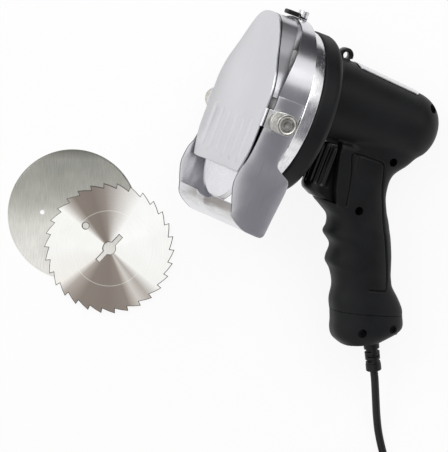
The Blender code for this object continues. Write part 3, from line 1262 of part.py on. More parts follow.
# Motor: can with a brush plate behind it, and a rotor of shaft, fan, armature and commutator
def make_motor():
    start = BARREL_START + BARREL_FRONT_WALL + CLEAR
    can_end = start + CAN_LENGTH
    inner = CAN_RADIUS - CAN_WALL
    mouth = BEARING_RADIUS + CLEAR
    can = piece("motor_can", turned((
        (-start, mouth), (-start, CAN_RADIUS), (-can_end, CAN_RADIUS), (-can_end, inner),
        (-start - CAN_WALL, inner), (-start - CAN_WALL, mouth)), MIDDLE_SIDES), None,
        slicer, (0, 0, MOTOR_RISE))
    dress(can, "brushed_steel")
    plate_front = can_end + CLEAR
    plate_back = plate_front + BRUSH_PLATE
    shaft_hole = REAR_BEARING_RADIUS + CLEAR
    plate = piece("brush_plate", turned((
        (-plate_front, shaft_hole), (-plate_front, CAN_RADIUS), (-plate_back, CAN_RADIUS),
        (-plate_back, shaft_hole)), MIDDLE_SIDES), None, slicer, (0, 0, MOTOR_RISE))
    arm_low = COMMUTATOR_RADIUS + CLEAR + BRUSH_LENGTH + CLEAR
    brush_middle = can_end - COMMUTATOR_LENGTH / 2 - ARMATURE_GAP
    arms = []
    for side in (1, -1):
        near, far = side * arm_low, side * (arm_low + BRUSH_ARM)
        arm = block((-plate_front - BRUSH_PLATE / 2, min(near, far), -BRUSH_HEIGHT / 2),
                    (-brush_middle + BRUSH_WIDTH / 2, max(near, far), BRUSH_HEIGHT / 2))
        arms.append(arm)
    join(plate, *arms)
    dress(plate, "black_moulding")
    for side, name in ((1, "left"), (-1, "right")):
        near = side * (COMMUTATOR_RADIUS + CLEAR)
        far = side * (COMMUTATOR_RADIUS + CLEAR + BRUSH_LENGTH)
        piece("carbon_brush_" + name, block(
            (-brush_middle - BRUSH_WIDTH / 2, min(near, far), -BRUSH_HEIGHT / 2),
            (-brush_middle + BRUSH_WIDTH / 2, max(near, far), BRUSH_HEIGHT / 2)),
            "carbon", slicer, (0, 0, MOTOR_RISE))
    shaft_bore = SHAFT_RADIUS + CLEAR
    front_low = -CASE_DEPTH
    for name, low, high, outer in (
            ("motor_bearing_front", front_low, front_low + BEARING_WIDTH, BEARING_RADIUS),
            ("motor_bearing_rear", -plate_back, -plate_front, REAR_BEARING_RADIUS)):
        ring = ((low, shaft_bore), (low, outer), (high, outer), (high, shaft_bore))
        piece(name, turned(ring), "bright_steel", slicer, (0, 0, MOTOR_RISE))
    shaft_front = PINION_WIDTH / 2
    shaft_back = -plate_back - SHAFT_TAIL
    piece("motor_shaft", turned(((shaft_back, 0), (shaft_back, SHAFT_RADIUS), (shaft_front, SHAFT_RADIUS),
                                 (shaft_front, 0))), "nickel", motor_axis)
    fan_front = -start - CAN_WALL - FAN_GAP
    fan_outline = []
    for count in range(FAN_BLADES):
        fan_outline += [polar(FAN_RADIUS * reach, (count + share) * 360 / FAN_BLADES)
                        for reach, share in FAN_BLADE_SHAPE]
    fan = piece("cooling_fan", sheet(fan_outline, fan_front - FAN_WIDTH, fan_front, "x"), None, motor_axis)
    cut(fan, rod(shaft_bore, fan_front - FAN_WIDTH - OVERRUN, fan_front + OVERRUN, "x"))
    dress(fan, "black_gloss")
    arm_front = fan_front - FAN_WIDTH - ARMATURE_GAP
    slot_outline = []
    for count in range(ARMATURE_SLOTS):
        slot_outline += [polar(ARMATURE_RADIUS * reach, (count + share) * 360 / ARMATURE_SLOTS)
                         for reach, share in ARMATURE_TOOTH_SHAPE]
    core = piece("armature", sheet(slot_outline, arm_front - ARMATURE_LENGTH, arm_front, "x"), None,
                 motor_axis)
    cut(core, rod(shaft_bore, arm_front - ARMATURE_LENGTH - OVERRUN, arm_front + OVERRUN, "x"))
    dress(core, "dark_steel")
    low = -brush_middle - COMMUTATOR_LENGTH / 2
    high = -brush_middle + COMMUTATOR_LENGTH / 2
    piece("commutator", turned(((low, shaft_bore), (low, COMMUTATOR_RADIUS), (high, COMMUTATOR_RADIUS),
                                (high, shaft_bore))), "copper", motor_axis)
    seat = -CASE_DEPTH + CASE_WALL + CLEAR
    tip = -start + CLEAR * 2
    for count, angle in enumerate(CASE_SCREW_ANGLES, 1):
        profile = ((tip, 0), (tip, CASE_SCREW_RADIUS), (seat, CASE_SCREW_RADIUS),
                   (seat, CASE_SCREW_HEAD_RADIUS), (seat + CASE_SCREW_HEAD, CASE_SCREW_HEAD_RADIUS),
                   (seat + CASE_SCREW_HEAD, 0))
        piece("case_screw_%d" % count, turned(profile, SCREW_SIDES), "dark_steel", slicer,
              (0, *polar(CASE_SCREW_CIRCLE_RADIUS, angle, (0, MOTOR_RISE))))


# Laying the slicer down on its right thumb screw, its barrel and its handle cap
def points_of(name):
    item = bpy.data.objects[name]
    return [item.matrix_world @ vert.co for vert in item.data.vertices]


def lay_down():
    bpy.context.view_layer.update()
    groups = [points_of("thumb_screw_right"), points_of("housing_right"), points_of("handle_cap")]
    middle = -(BARREL_START + BARREL_LENGTH / 2)
    groups[1] = [point for point in groups[1] if point.x < middle and point.z > 0]
    upward = Vector((0, 1, 0))
    for step in range(SETTLE_STEPS):
        touches = [min(group, key=upward.dot) for group in groups]
        normal = (touches[1] - touches[0]).cross(touches[2] - touches[0]).normalized()
        upward = normal if normal.dot(upward) > 0 else -normal
    forward = Vector((1, 0, 0))
    forward = (forward - upward * forward.dot(upward)).normalized()
    sideways = upward.cross(forward)
    settle = Matrix((forward, sideways, upward)).to_4x4()
    height = -touches[0].dot(upward)
    slicer.matrix_local = (Matrix.Translation((0, 0, height))
                           @ Matrix.Rotation(math.radians(HEADING), 4, "Z") @ settle)
    bpy.context.view_layer.update()


# Mains cord: a short lead that comes down to the table, and the rest in a tied coil
def smooth_row(points, spacing):
    """Evenly spaced places on one smooth curve through the given points."""
    fine = []
    for index in range(len(points) - 1):
        before = points[max(index - 1, 0)]
        start, end = points[index], points[index + 1]
        after = points[min(index + 2, len(points) - 1)]
        for step in range(CURVE_STEPS):
            share = step / CURVE_STEPS
            fine.append(0.5 * (2 * start + (end - before) * share
                               + (2 * before - 5 * start + 4 * end - after) * share ** 2
                               + (3 * start - before - 3 * end + after) * share ** 3))
    fine.append(points[-1])
    lengths = [0.0]
    for near, far in zip(fine, fine[1:]):
        lengths.append(lengths[-1] + (far - near).length)
    count = max(2, round(lengths[-1] / spacing))
    row = []
    for step in range(count + 1):
        target = lengths[-1] * step / count
        index = next(place for place in range(1, len(fine)) if lengths[place] >= target - CLEAR / 1000)
        share = (target - lengths[index - 1]) / (lengths[index] - lengths[index - 1])
        row.append(fine[index - 1].lerp(fine[index], share))
    return row


def coil_points(centre, low):
    """Loops that spiral in on the table, climb one layer and spiral out again."""
    outer = COIL_RADIUS + COIL_PITCH * COIL_TURNS / 2
    start = math.radians(CORD_START_ANGLE)
    straight = 2 * CORD_RADIUS
    heading = Vector((math.sin(start), -math.cos(start), 0))
    steps = 2 * COIL_TURNS * COIL_POINTS
    row = []
    for step in range(steps + 1):
        turns = step / COIL_POINTS
        radius = outer - COIL_PITCH * min(turns, 2 * COIL_TURNS - turns)
        angle = start - 2 * math.pi * turns
        climb = min(max((turns - COIL_TURNS) / COIL_CLIMB_TURNS + 0.5, 0), 1)
        height = low + COIL_LAYER * climb * climb * (3 - 2 * climb)
        row.append(Vector((*polar(radius, math.degrees(angle), centre), height)))
    row.insert(0, row[0] - heading * straight)
    row.append(row[-1] + heading * (COIL_TAIL - straight))
    row.append(row[-1] + heading * straight)
    return row, heading


def least_self_gap(points, radius):
    """Least gap between turns of a tube, measured between points a half turn or more apart."""
    apart = COIL_POINTS // 2
    least = min((first - second).length for index, first in enumerate(points)
                for second in points[index + apart:])
    return least - 2 * radius


def make_cord():
    exit_matrix = slicer.matrix_world @ relief_matrix()
    outward = exit_matrix.to_3x3() @ Vector((1, 0, 0))
    relief_end = exit_matrix @ Vector((RELIEF_LENGTH, 0, 0))
    start = relief_end + outward * CLEAR
    outer = COIL_RADIUS + COIL_PITCH * COIL_TURNS / 2
    centre = (relief_end.x + COIL_PLACE[0], relief_end.y + COIL_PLACE[1])
    low = TIE_THICKNESS + CLEAR + CORD_RADIUS
    coil, heading = coil_points(centre, low)
    print("least gap in the cord's coil, metres:", round(least_self_gap(coil, CORD_RADIUS), 6))
    tube("cord_coil", coil, CORD_RADIUS, "black_rubber").parent = table_set
    route = [start, start + outward * 2 * CORD_RADIUS]
    for across, down, share in CORD_ROUTE[1:]:
        height = CORD_RADIUS + share * (start.z - CORD_RADIUS)
        route.append(Vector((start.x + across, start.y + down, height)))
    end = coil[0] - heading * CLEAR
    route += [end - heading * 2 * CORD_RADIUS, end]
    row = smooth_row([Vector(point) for point in route], CORD_STEP)
    row.insert(1, start + outward * 2 * CORD_RADIUS)
    row.insert(len(row) - 1, end - heading * 2 * CORD_RADIUS)
    tube("cord_lead", row, CORD_RADIUS, "black_rubber", 2).parent = table_set
    make_tie(centre, outer, low)
    make_plug(coil[-1], heading)


def make_tie(centre, outer, low):
    inner = outer - COIL_PITCH * COIL_TURNS - CORD_RADIUS - CLEAR
    outer = outer + CORD_RADIUS + CLEAR
    top = low + COIL_LAYER + CORD_RADIUS + CLEAR
    band = block((inner - TIE_THICKNESS, -TIE_HALF_WIDTH, 0),
                 (outer + TIE_THICKNESS, TIE_HALF_WIDTH, top + TIE_THICKNESS))
    tie = piece("cord_tie", band, None)
    cut(tie, block((inner, -TIE_HALF_WIDTH - OVERRUN, TIE_THICKNESS),
                   (outer, TIE_HALF_WIDTH + OVERRUN, top)))
    tie.rotation_euler = (0, 0, math.radians(TIE_ANGLE))
    tie.location = (*centre, 0)
    tie.parent = table_set
    dress(tie, "black_rubber")


def make_plug(start, heading):
    """Plug with a ringed boot, a flared flat body and two round pins."""
    depth = start.z
    sections = []
    narrow = PLUG_WIDTH * PLUG_NECK_SHARE
    front = BOOT_LENGTH + PLUG_LENGTH
    outline = [(BOOT_LENGTH, BOOT_RADIUS * 2, BOOT_RADIUS),
               (BOOT_LENGTH + PLUG_EDGE, narrow, depth * PLUG_NECK_DEPTH_SHARE)]
    outline += [(BOOT_LENGTH + PLUG_LENGTH * share, PLUG_WIDTH * wide, depth * deep)
                for share, wide, deep in PLUG_SHARES]
    outline += [(front - PLUG_EDGE / 2, PLUG_WIDTH, depth),
                (front, PLUG_WIDTH - PLUG_EDGE, depth - PLUG_EDGE / 2)]
    for along, width, high in outline:
        ring = []
        for step in range(SMALL_SIDES):
            angle = 2 * math.pi * (step + 0.5) / SMALL_SIDES
            across, rise = math.cos(angle), math.sin(angle)
            edge_share = math.cos(math.pi / SMALL_SIDES)
            across = math.copysign(min(1.0, abs(across / edge_share)) ** (2 / 3), across)
            rise = math.copysign(min(1.0, abs(rise / edge_share)) ** (2 / 3), rise)
            ring.append((along, across * width / 2, rise * high))
        sections.append(ring)
    body = piece("plug_body", loft(sections), None)
    boot = turned(((CLEAR, 0), (CLEAR, BOOT_RADIUS * BOOT_TIP_SHARE),
                   (BOOT_LENGTH * BOOT_TAPER_SHARE, BOOT_RADIUS),
                   (BOOT_LENGTH + PLUG_EDGE / 2, BOOT_RADIUS), (BOOT_LENGTH + PLUG_EDGE / 2, 0)))
    join(body, boot)
    sockets = [rod(PIN_RADIUS + CLEAR, front - PIN_ROOT - CLEAR, front + OVERRUN, "x",
                   (side * PIN_SPACING / 2, 0)) for side in (1, -1)]
    cut(body, *sockets)
    angle = math.atan2(heading.y, heading.x)
    place = Matrix.Translation(start) @ Matrix.Rotation(angle, 4, "Z")
    body.parent = table_set
    body.matrix_local = place
    dress(body, "black_gloss")
    for count, side in enumerate((1, -1), 1):
        low = front - PIN_ROOT
        profile = ((low, 0), (low, PIN_RADIUS), (front + PIN_LENGTH - PIN_RADIUS / 2, PIN_RADIUS),
                   (front + PIN_LENGTH, PIN_RADIUS / 2), (front + PIN_LENGTH, 0))
        pin = piece("plug_pin_%d" % count, turned(profile, SCREW_SIDES), "nickel", table_set)
        pin.matrix_local = place @ Matrix.Translation((0, side * PIN_SPACING / 2, 0))


def centre_on_table():
    """Move everything so that the middle of the slicer and its blades stands over zero."""
    bpy.context.view_layer.update()
    corners = []
    for item in bpy.data.objects:
        if item.type != "MESH" or item.name.startswith(("cord", "plug")):
            continue
        corners += [item.matrix_world @ vert.co for vert in item.data.vertices]
    middle = [(min(point[axis] for point in corners) + max(point[axis] for point in corners)) / 2
              for axis in (0, 1)]
    table_set.location = (-middle[0], -middle[1], 0)
    bpy.context.view_layer.update()


make_gear_case()
make_gear_cover()
make_head_screws()
make_gears()
make_idler_pin()
make_spindle()
make_mounted_blade()
make_spare_blades()
make_blade_guard()
make_gauge_plate()
make_thumb_screws()
make_top_buffer()
make_housing()
make_hanging_eye()
make_label_plate()
make_handle_cap()
make_strain_relief()
make_trigger()
make_motor()
lay_down()
make_cord()
centre_on_table()
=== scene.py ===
import json
import math

import bmesh
import bpy
import numpy as np
from mathutils import Matrix, Vector


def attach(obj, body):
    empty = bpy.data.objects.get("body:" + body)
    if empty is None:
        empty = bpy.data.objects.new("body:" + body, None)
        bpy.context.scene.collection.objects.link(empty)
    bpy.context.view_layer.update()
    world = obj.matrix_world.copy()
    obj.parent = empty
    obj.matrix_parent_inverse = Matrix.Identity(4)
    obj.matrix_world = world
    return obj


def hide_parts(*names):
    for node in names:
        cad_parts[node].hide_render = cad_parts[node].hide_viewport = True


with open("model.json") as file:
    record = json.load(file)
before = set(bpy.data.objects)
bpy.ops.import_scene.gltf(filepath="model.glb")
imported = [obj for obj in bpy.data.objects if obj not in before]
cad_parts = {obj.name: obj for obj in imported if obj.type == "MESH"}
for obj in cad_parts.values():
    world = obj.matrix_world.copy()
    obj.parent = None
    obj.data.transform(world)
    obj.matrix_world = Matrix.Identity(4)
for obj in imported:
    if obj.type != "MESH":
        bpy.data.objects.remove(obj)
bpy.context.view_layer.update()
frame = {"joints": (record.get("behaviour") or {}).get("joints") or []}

# Camera: on a copy stand above the table, leaning about 5 degrees, far enough away that little
# tapers. One pixel of the 448 x 452 frame is 0.75 mm at the slicer's own height.
PX_PER_METRE = 1330
FRAME_HEIGHT_PX = 452
SENSOR_MM = 36
CAMERA_DISTANCE = 3.94
FRAME_MIDDLE = Vector((0.00447, -0.02665, 0.05995))
TOWARD_CAMERA = Vector((0.06365, 0.06063, 0.99613)).normalized()
CAMERA_UP = Vector((-0.01653, 0.99808, -0.05969))

lens_data = bpy.data.cameras.new("camera")
lens_data.sensor_width = SENSOR_MM
lens_data.lens = SENSOR_MM * CAMERA_DISTANCE / (FRAME_HEIGHT_PX / PX_PER_METRE)
lens_data.clip_start = 0.1
lens_data.clip_end = 50
camera = bpy.data.objects.new("camera", lens_data)
camera_right = CAMERA_UP.cross(TOWARD_CAMERA).normalized()
camera.matrix_world = Matrix.Translation(FRAME_MIDDLE + TOWARD_CAMERA * CAMERA_DISTANCE) @ Matrix(
    (camera_right, TOWARD_CAMERA.cross(camera_right), TOWARD_CAMERA)).transposed().to_4x4()
bpy.context.scene.collection.objects.link(camera)
bpy.context.scene.camera = camera
bpy.context.scene.view_settings.view_transform = "Standard"


# Table top: a plain white sheet, laid under everything and lit to paper white.
# It takes the object's soft shadow and belongs to no piece.
FLOOR_HALF = 3.0
FLOOR_DROP = 0.0002


def linear(hex_colour):
    """An sRGB hex value as linear red, green, blue and alpha."""
    parts = [int(hex_colour[place:place + 2], 16) / 255 for place in (1, 3, 5)]
    return (*[part / 12.92 if part <= 0.04045 else ((part + 0.055) / 1.055) ** 2.4
              for part in parts], 1.0)


def add_node(tree, kind, settings=None, links=None):
    """Add a node; a setting is an input's value or a property, a link a socket to plug in."""
    node = tree.nodes.new("ShaderNode" + kind)
    for name, value in (settings or {}).items():
        if isinstance(name, int) or name in node.inputs:
            node.inputs[name].default_value = value
        else:
            setattr(node, name, value)
    for name, socket in (links or {}).items():
        tree.links.new(socket, node.inputs[name])
    return node


def new_material(name):
    """An empty node material and its tree, with an output and a principled shader."""
    material = bpy.data.materials.new(name)
    material.use_nodes = True
    tree = material.node_tree
    return material, tree, tree.nodes["Principled BSDF"]


floor_mesh = bpy.data.meshes.new("floor")
floor_form = bmesh.new()
bmesh.ops.create_grid(floor_form, x_segments=4, y_segments=4, size=FLOOR_HALF)
floor_form.to_mesh(floor_mesh)
floor_form.free()
floor = bpy.data.objects.new("floor", floor_mesh)
floor.location = (0, 0, -FLOOR_DROP)
bpy.context.scene.collection.objects.link(floor)
paper, paper_tree, paper_shader = new_material("white_paper")
paper_shader.inputs["Base Color"].default_value = linear("#FFFFFF")
paper_shader.inputs["Roughness"].default_value = 0.9
paper_shader.inputs["Specular IOR Level"].default_value = 0.0
paper_path = add_node(paper_tree, "LightPath")
paper_seen = add_node(paper_tree, "Math", {"operation": "MAXIMUM"},
                      {0: paper_path.outputs["Is Camera Ray"], 1: paper_path.outputs["Is Glossy Ray"]})
paper_seen = add_node(paper_tree, "Math", {"operation": "MAXIMUM"},
                      {0: paper_seen.outputs[0], 1: paper_path.outputs["Is Transmission Ray"]})
paper_white = add_node(paper_tree, "Emission", {"Color": linear("#FFFFFF"), "Strength": 1.0})
paper_share = add_node(paper_tree, "Math", {"operation": "MULTIPLY", 1: 0.9}, {0: paper_seen.outputs[0]})
paper_mix = add_node(paper_tree, "MixShader", None,
                     {0: paper_share.outputs[0], 1: paper_shader.outputs[0], 2: paper_white.outputs[0]})
paper_tree.links.new(paper_mix.outputs[0], paper_tree.nodes["Material Output"].inputs["Surface"])
floor_mesh.materials.append(paper)

# World: an even white room for the camera and for reflections, and a softer one for diffuse light,
# brighter behind the tool's head than towards its cord
world = bpy.data.worlds.new("studio")
bpy.context.scene.world = world
world.use_nodes = True
sky = world.node_tree
sky.nodes.clear()
light_path = add_node(sky, "LightPath")
seen = add_node(sky, "Math", {"operation": "MAXIMUM"},
                {0: light_path.outputs["Is Camera Ray"], 1: light_path.outputs["Is Glossy Ray"]})
seen = add_node(sky, "Math", {"operation": "MAXIMUM"},
                {0: seen.outputs[0], 1: light_path.outputs["Is Transmission Ray"]})
direction = add_node(sky, "TexCoord")
parts = add_node(sky, "SeparateXYZ", None, {"Vector": direction.outputs["Generated"]})
slope = add_node(sky, "MapRange", {"From Min": -0.8, "From Max": 0.8, "To Min": 0.16, "To Max": 0.85},
                 {"Value": parts.outputs["Y"]})
soft_room = add_node(sky, "Background", {"Color": linear("#FFFFFF")}, {"Strength": slope.outputs["Result"]})
white_room = add_node(sky, "Background", {"Color": linear("#FFFFFF"), "Strength": 1.0})
room = add_node(sky, "MixShader", None,
                {0: seen.outputs[0], 1: soft_room.outputs[0], 2: white_room.outputs[0]})
add_node(sky, "OutputWorld", None, {"Surface": room.outputs[0]})

for name, place, size, power in (("left_bank", (-1.1, 0.9, 1.5), 1.2, 13), ("right_bank", (1.0, 1.1, 1.5), 1.0, 10)):
    bank = bpy.data.lights.new(name, "AREA")
    bank.shape = "SQUARE"
    bank.size = size
    bank.energy = power
    lamp = bpy.data.objects.new(name, bank)
    lamp.location = place
    lamp.rotation_euler = (-Vector(place)).to_track_quat("-Z", "Y").to_euler()
    bpy.context.scene.collection.objects.link(lamp)

# Studio cards: grey boards out of view, which only shine in the bright metal. The near one lies
# sloped behind the head and gives the arch its dark band, the high one gives the wings their grey.
CARDS = (
    ("band_card", (0.302, 0.398, 0.100), (-0.236, -0.283, 0.932), 0.60, 0.520, "#3E3E42"),
    ("wing_card", (1.05, -0.40, 1.14), (-0.66, 0.25, -0.71), 1.50, 1.30, "#88888D"),
)
for name, centre, facing, wide, deep, tone in CARDS:
    card_form = bmesh.new()
    bmesh.ops.create_grid(card_form, x_segments=1, y_segments=1, size=0.5)
    card_mesh = bpy.data.meshes.new(name)
    card_form.to_mesh(card_mesh)
    card_form.free()
    board, board_tree, board_shader = new_material(name)
    shine = add_node(board_tree, "Emission", {"Color": linear(tone), "Strength": 1.0})
    board_tree.links.new(shine.outputs[0], board_tree.nodes["Material Output"].inputs["Surface"])
    card_mesh.materials.append(board)
    card = bpy.data.objects.new(name, card_mesh)
    card.matrix_world = (Matrix.Translation(centre) @ Vector(facing).to_track_quat("Z", "Y").to_matrix().to_4x4()
                         @ Matrix.Diagonal((wide, deep, 1, 1)))
    for sense in ("visible_camera", "visible_diffuse", "visible_shadow", "visible_transmission"):
        setattr(card, sense, False)
    bpy.context.scene.collection.objects.link(card)


# Mains cord: round rubber-sheathed lead, 6 mm thick and 1.8 m long, pushed through the
# strain relief; the length that isn't used lies beside the tool in a tied coil.
CORD_DIAMETER = 0.006
CORD_EXIT = (0.117294, -0.137338, 0.018187)
LEAD_POINTS = (
    (0.117326, -0.137634, 0.018145), (0.117957, -0.143542, 0.017305), (0.118310, -0.149468, 0.015546),
    (0.118869, -0.161061, 0.011779), (0.119528, -0.172675, 0.008097), (0.120802, -0.184427, 0.005084),
    (0.123229, -0.196265, 0.003521), (0.126552, -0.207995, 0.003095), (0.130147, -0.219631, 0.003767),
    (0.131988, -0.225527, 0.004300), (0.133742, -0.231265, 0.004300))
COIL_CENTRE = (0.091594, -0.250739)
COIL_RADIUS = 0.033
COIL_PITCH = 0.0065
COIL_TURNS = 4
COIL_TURN_POINTS = 24
COIL_START = math.radians(17)
COIL_LOW = 0.0043
COIL_LAYER = 0.0065
CLIMB_TURNS = 0.5
COIL_TAIL = 0.024


def smooth_row(points, steps):
    """Places on one smooth curve through a row of points."""
    row = []
    for index in range(len(points) - 1):
        start, end = points[index], points[index + 1]
        before, after = points[max(index - 1, 0)], points[min(index + 2, len(points) - 1)]
        for step in range(steps):
            t = step / steps
            row.append(0.5 * (2 * start + (end - before) * t
                              + (2 * before - 5 * start + 4 * end - after) * t ** 2
                              + (3 * start - before - 3 * end + after) * t ** 3))
    return row + [points[-1]]


cord_heading = Vector((math.sin(COIL_START), -math.cos(COIL_START), 0))
coil_row = []
for step in range(2 * COIL_TURNS * COIL_TURN_POINTS + 1):
    turns = step / COIL_TURN_POINTS
    radius = COIL_RADIUS + COIL_PITCH * (COIL_TURNS / 2 - min(turns, 2 * COIL_TURNS - turns))
    angle = COIL_START - 2 * math.pi * turns
    climb = min(max((turns - COIL_TURNS) / CLIMB_TURNS + 0.5, 0), 1)
    coil_row.append(Vector((COIL_CENTRE[0] + radius * math.cos(angle),
                            COIL_CENTRE[1] + radius * math.sin(angle),
                            COIL_LOW + COIL_LAYER * climb * climb * (3 - 2 * climb))))
coil_row.append(coil_row[-1] + cord_heading * COIL_TAIL)
cord_row = smooth_row([Vector(CORD_EXIT)] + [Vector(point) for point in LEAD_POINTS[1:]], 6)
cord_row += smooth_row(coil_row, 3)

cord_curve = bpy.data.curves.new("mains_cord", "CURVE")
cord_curve.dimensions = "3D"
cord_curve.bevel_depth = CORD_DIAMETER / 2
cord_curve.bevel_resolution = 5
cord_curve.use_fill_caps = True
cord_spline = cord_curve.splines.new("POLY")
cord_spline.points.add(len(cord_row) - 1)
for point, place in zip(cord_spline.points, cord_row):
    point.co = (*place, 1.0)
cord_spline.use_smooth = True
mains_cord = bpy.data.objects.new("mains_cord", cord_curve)
bpy.context.scene.collection.objects.link(mains_cord)
def moulded_black(name, colour, roughness, sheen_level, grain_mm, grain_depth):
    """Black moulded plastic: eroded grain in the bump, handling marks in the roughness."""
    material, tree, shader = new_material(name)
    place = add_node(tree, "TexCoord")
    grain = add_node(tree, "TexNoise", {"Scale": 1000 / grain_mm, "Detail": 2.0},
                     {"Vector": place.outputs["Object"]})
    marks = add_node(tree, "TexNoise", {"Scale": 45.0, "Detail": 4.0, "Roughness": 0.6},
                     {"Vector": place.outputs["Object"]})
    tint = add_node(tree, "ValToRGB", None, {"Fac": marks.outputs["Fac"]})
    dark, light = (tuple(part * share for part in linear(colour)[:3]) + (1.0,) for share in (0.8, 1.3))
    tint.color_ramp.elements[0].position = 0.3
    tint.color_ramp.elements[0].color = dark
    tint.color_ramp.elements[1].position = 0.72
    tint.color_ramp.elements[1].color = light
    gloss = add_node(tree, "MapRange", {"From Min": 0.3, "From Max": 0.7, "To Min": roughness - 0.07,
                                        "To Max": roughness + 0.09}, {"Value": marks.outputs["Fac"]})
    bump = add_node(tree, "Bump", {"Strength": 0.35, "Distance": grain_depth},
                    {"Height": grain.outputs["Fac"]})
    shader.inputs["Specular IOR Level"].default_value = sheen_level
    tree.links.new(tint.outputs["Color"], shader.inputs["Base Color"])
    tree.links.new(gloss.outputs["Result"], shader.inputs["Roughness"])
    tree.links.new(bump.outputs["Normal"], shader.inputs["Normal"])
    return material


rubber = moulded_black("sheathing_rubber", "#0E0E0F", 0.42, 0.3, 1.0, 0.00004)
cord_curve.materials.append(rubber)
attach(mains_cord, "slicer_body")
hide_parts("cord_lead", "cord_coil")


# The slicer's own axes, read from its joints: forward to the blade, to its left side, and up.
# Pieces of the tool are drawn in these axes, with zero on the head's axis, and then laid down.
SPINDLE_DROP = 0.034

joints = {joint["name"]: joint for joint in frame["joints"]}
blade_centre = Vector(joints["blade_spin"]["pos_m"])
upward = (Vector(joints["motor_spin"]["pos_m"]) - blade_centre).normalized()
forward = Vector(joints["blade_spin"]["axis"])
leftward = Vector(joints["thumb_left_turn"]["axis"])
SLICER = Matrix.Translation(blade_centre + upward * SPINDLE_DROP) @ Matrix(
    (forward, leftward, upward)).transposed().to_4x4()


# Gear case: the black round cup behind the head, moulded in glass-filled nylon. Its mould was
# spark-eroded, which leaves an even fine grain and a soft sheen; rear edge and rim are rounded.
CASE_RADIUS = 0.0625
CASE_BACK = -0.0125
CASE_FRONT = 0.0042
CASE_WALL = 0.003
CASE_GRAIN_MM = 0.9


def rounded(points, radius, closed=False, steps=4):
    """The same row of points with its corners rounded off."""
    row = []
    count = len(points)
    for index, point in enumerate(points):
        corner = Vector(point)
        if not closed and index in (0, count - 1):
            row.append(tuple(corner))
            continue
        before = Vector(points[index - 1]) - corner
        after = Vector(points[(index + 1) % count]) - corner
        reach = min(radius, before.length * 0.45, after.length * 0.45)
        start = corner + before.normalized() * reach
        end = corner + after.normalized() * reach
        for step in range(steps + 1):
            t = step / steps
            row.append(tuple(start * (1 - t) ** 2 + corner * 2 * t * (1 - t) + end * t ** 2))
    return row


def turned(profile, sides=96, centre=(0, 0), closed=False):
    """A round form about the forward axis, from a row of (place along it, radius)."""
    form = bmesh.new()
    rings = []
    for along, radius in profile:
        if radius < 1e-6:
            rings.append([form.verts.new((along, *centre))])
        else:
            rings.append([form.verts.new((
                along, centre[0] + radius * math.cos(2 * math.pi * side / sides),
                centre[1] + radius * math.sin(2 * math.pi * side / sides))) for side in range(sides)])
    pairs = list(zip(rings, rings[1:]))
    if closed:
        pairs.append((rings[-1], rings[0]))
    for near, far in pairs:
        for side in range(sides):
            corners = []
            for ring, place in ((near, side), (near, side + 1), (far, side + 1), (far, side)):
                vertex = ring[place % len(ring)]
                if vertex not in corners:
                    corners.append(vertex)
            if len(corners) > 2:
                form.faces.new(corners)
    return form


def add_piece(name, form, material, body, nodes=(), place=SLICER, crease=38):
    """Make a form into a smooth-shaded piece that rides on a body and stands for some nodes.

    A form drawn in the tool's own axes is turned into the world's, so that its box stays tight.
    """
    bmesh.ops.recalc_face_normals(form, faces=form.faces)
    mesh = bpy.data.meshes.new(name)
    form.to_mesh(mesh)
    form.free()
    mesh.materials.append(material)
    mesh.shade_smooth()
    mesh.set_sharp_from_angle(angle=math.radians(crease))
    if place is SLICER:
        mesh.transform(SLICER)
        place = Matrix()
    item = bpy.data.objects.new(name, mesh)
    item.matrix_world = place
    bpy.context.scene.collection.objects.link(item)
    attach(item, body)
    if nodes:
        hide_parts(*nodes)
    return item


nylon = moulded_black("glass_filled_nylon", "#101113", 0.50, 0.20, CASE_GRAIN_MM, 0.00008)
inner = CASE_RADIUS - CASE_WALL
case_form = turned(rounded((
    (CASE_BACK + CASE_WALL, 0), (CASE_BACK + CASE_WALL, inner), (CASE_FRONT, inner),
    (CASE_FRONT, CASE_RADIUS - 0.0004), (CASE_FRONT - 0.0016, CASE_RADIUS),
    (CASE_BACK + 0.0052, CASE_RADIUS), (CASE_BACK + 0.0018, CASE_RADIUS - 0.0022),
    (CASE_BACK, CASE_RADIUS - 0.0062), (CASE_BACK, 0)), 0.0016), 160)
add_piece("gear_case_moulding", case_form, nylon, "slicer_body", ("gear_case",))


# Gear cover: the bright drum in front of the black case, spun from stainless sheet and brushed
# round. It shows as a narrow ring with short bright streaks behind the guard.
COVER_RADIUS = 0.0615
COVER_FRONT = 0.014
COVER_WALL = 0.003
BRUSH_LINE_MM = 0.5


def painted_light_graded(tree, colour, value, low, high, stops):
    """Paint light and shade: multiply a colour by a ramp of colours that follows a value from low to high."""
    share = add_node(tree, "MapRange", {"From Min": low, "From Max": high}, {"Value": value})
    painted_light_tones = add_node(tree, "ValToRGB", None, {"Fac": share.outputs["Result"]})
    while len(painted_light_tones.color_ramp.elements) < len(stops):
        painted_light_tones.color_ramp.elements.new(0.5)
    for element, (position, tone) in zip(painted_light_tones.color_ramp.elements, stops):
        element.position = position
        element.color = linear(tone)
    return add_node(tree, "Mix", {"data_type": "RGBA", "blend_type": "MULTIPLY", "Factor": 1.0},
                    {6: colour, 7: painted_light_tones.outputs["Color"]}).outputs[2]


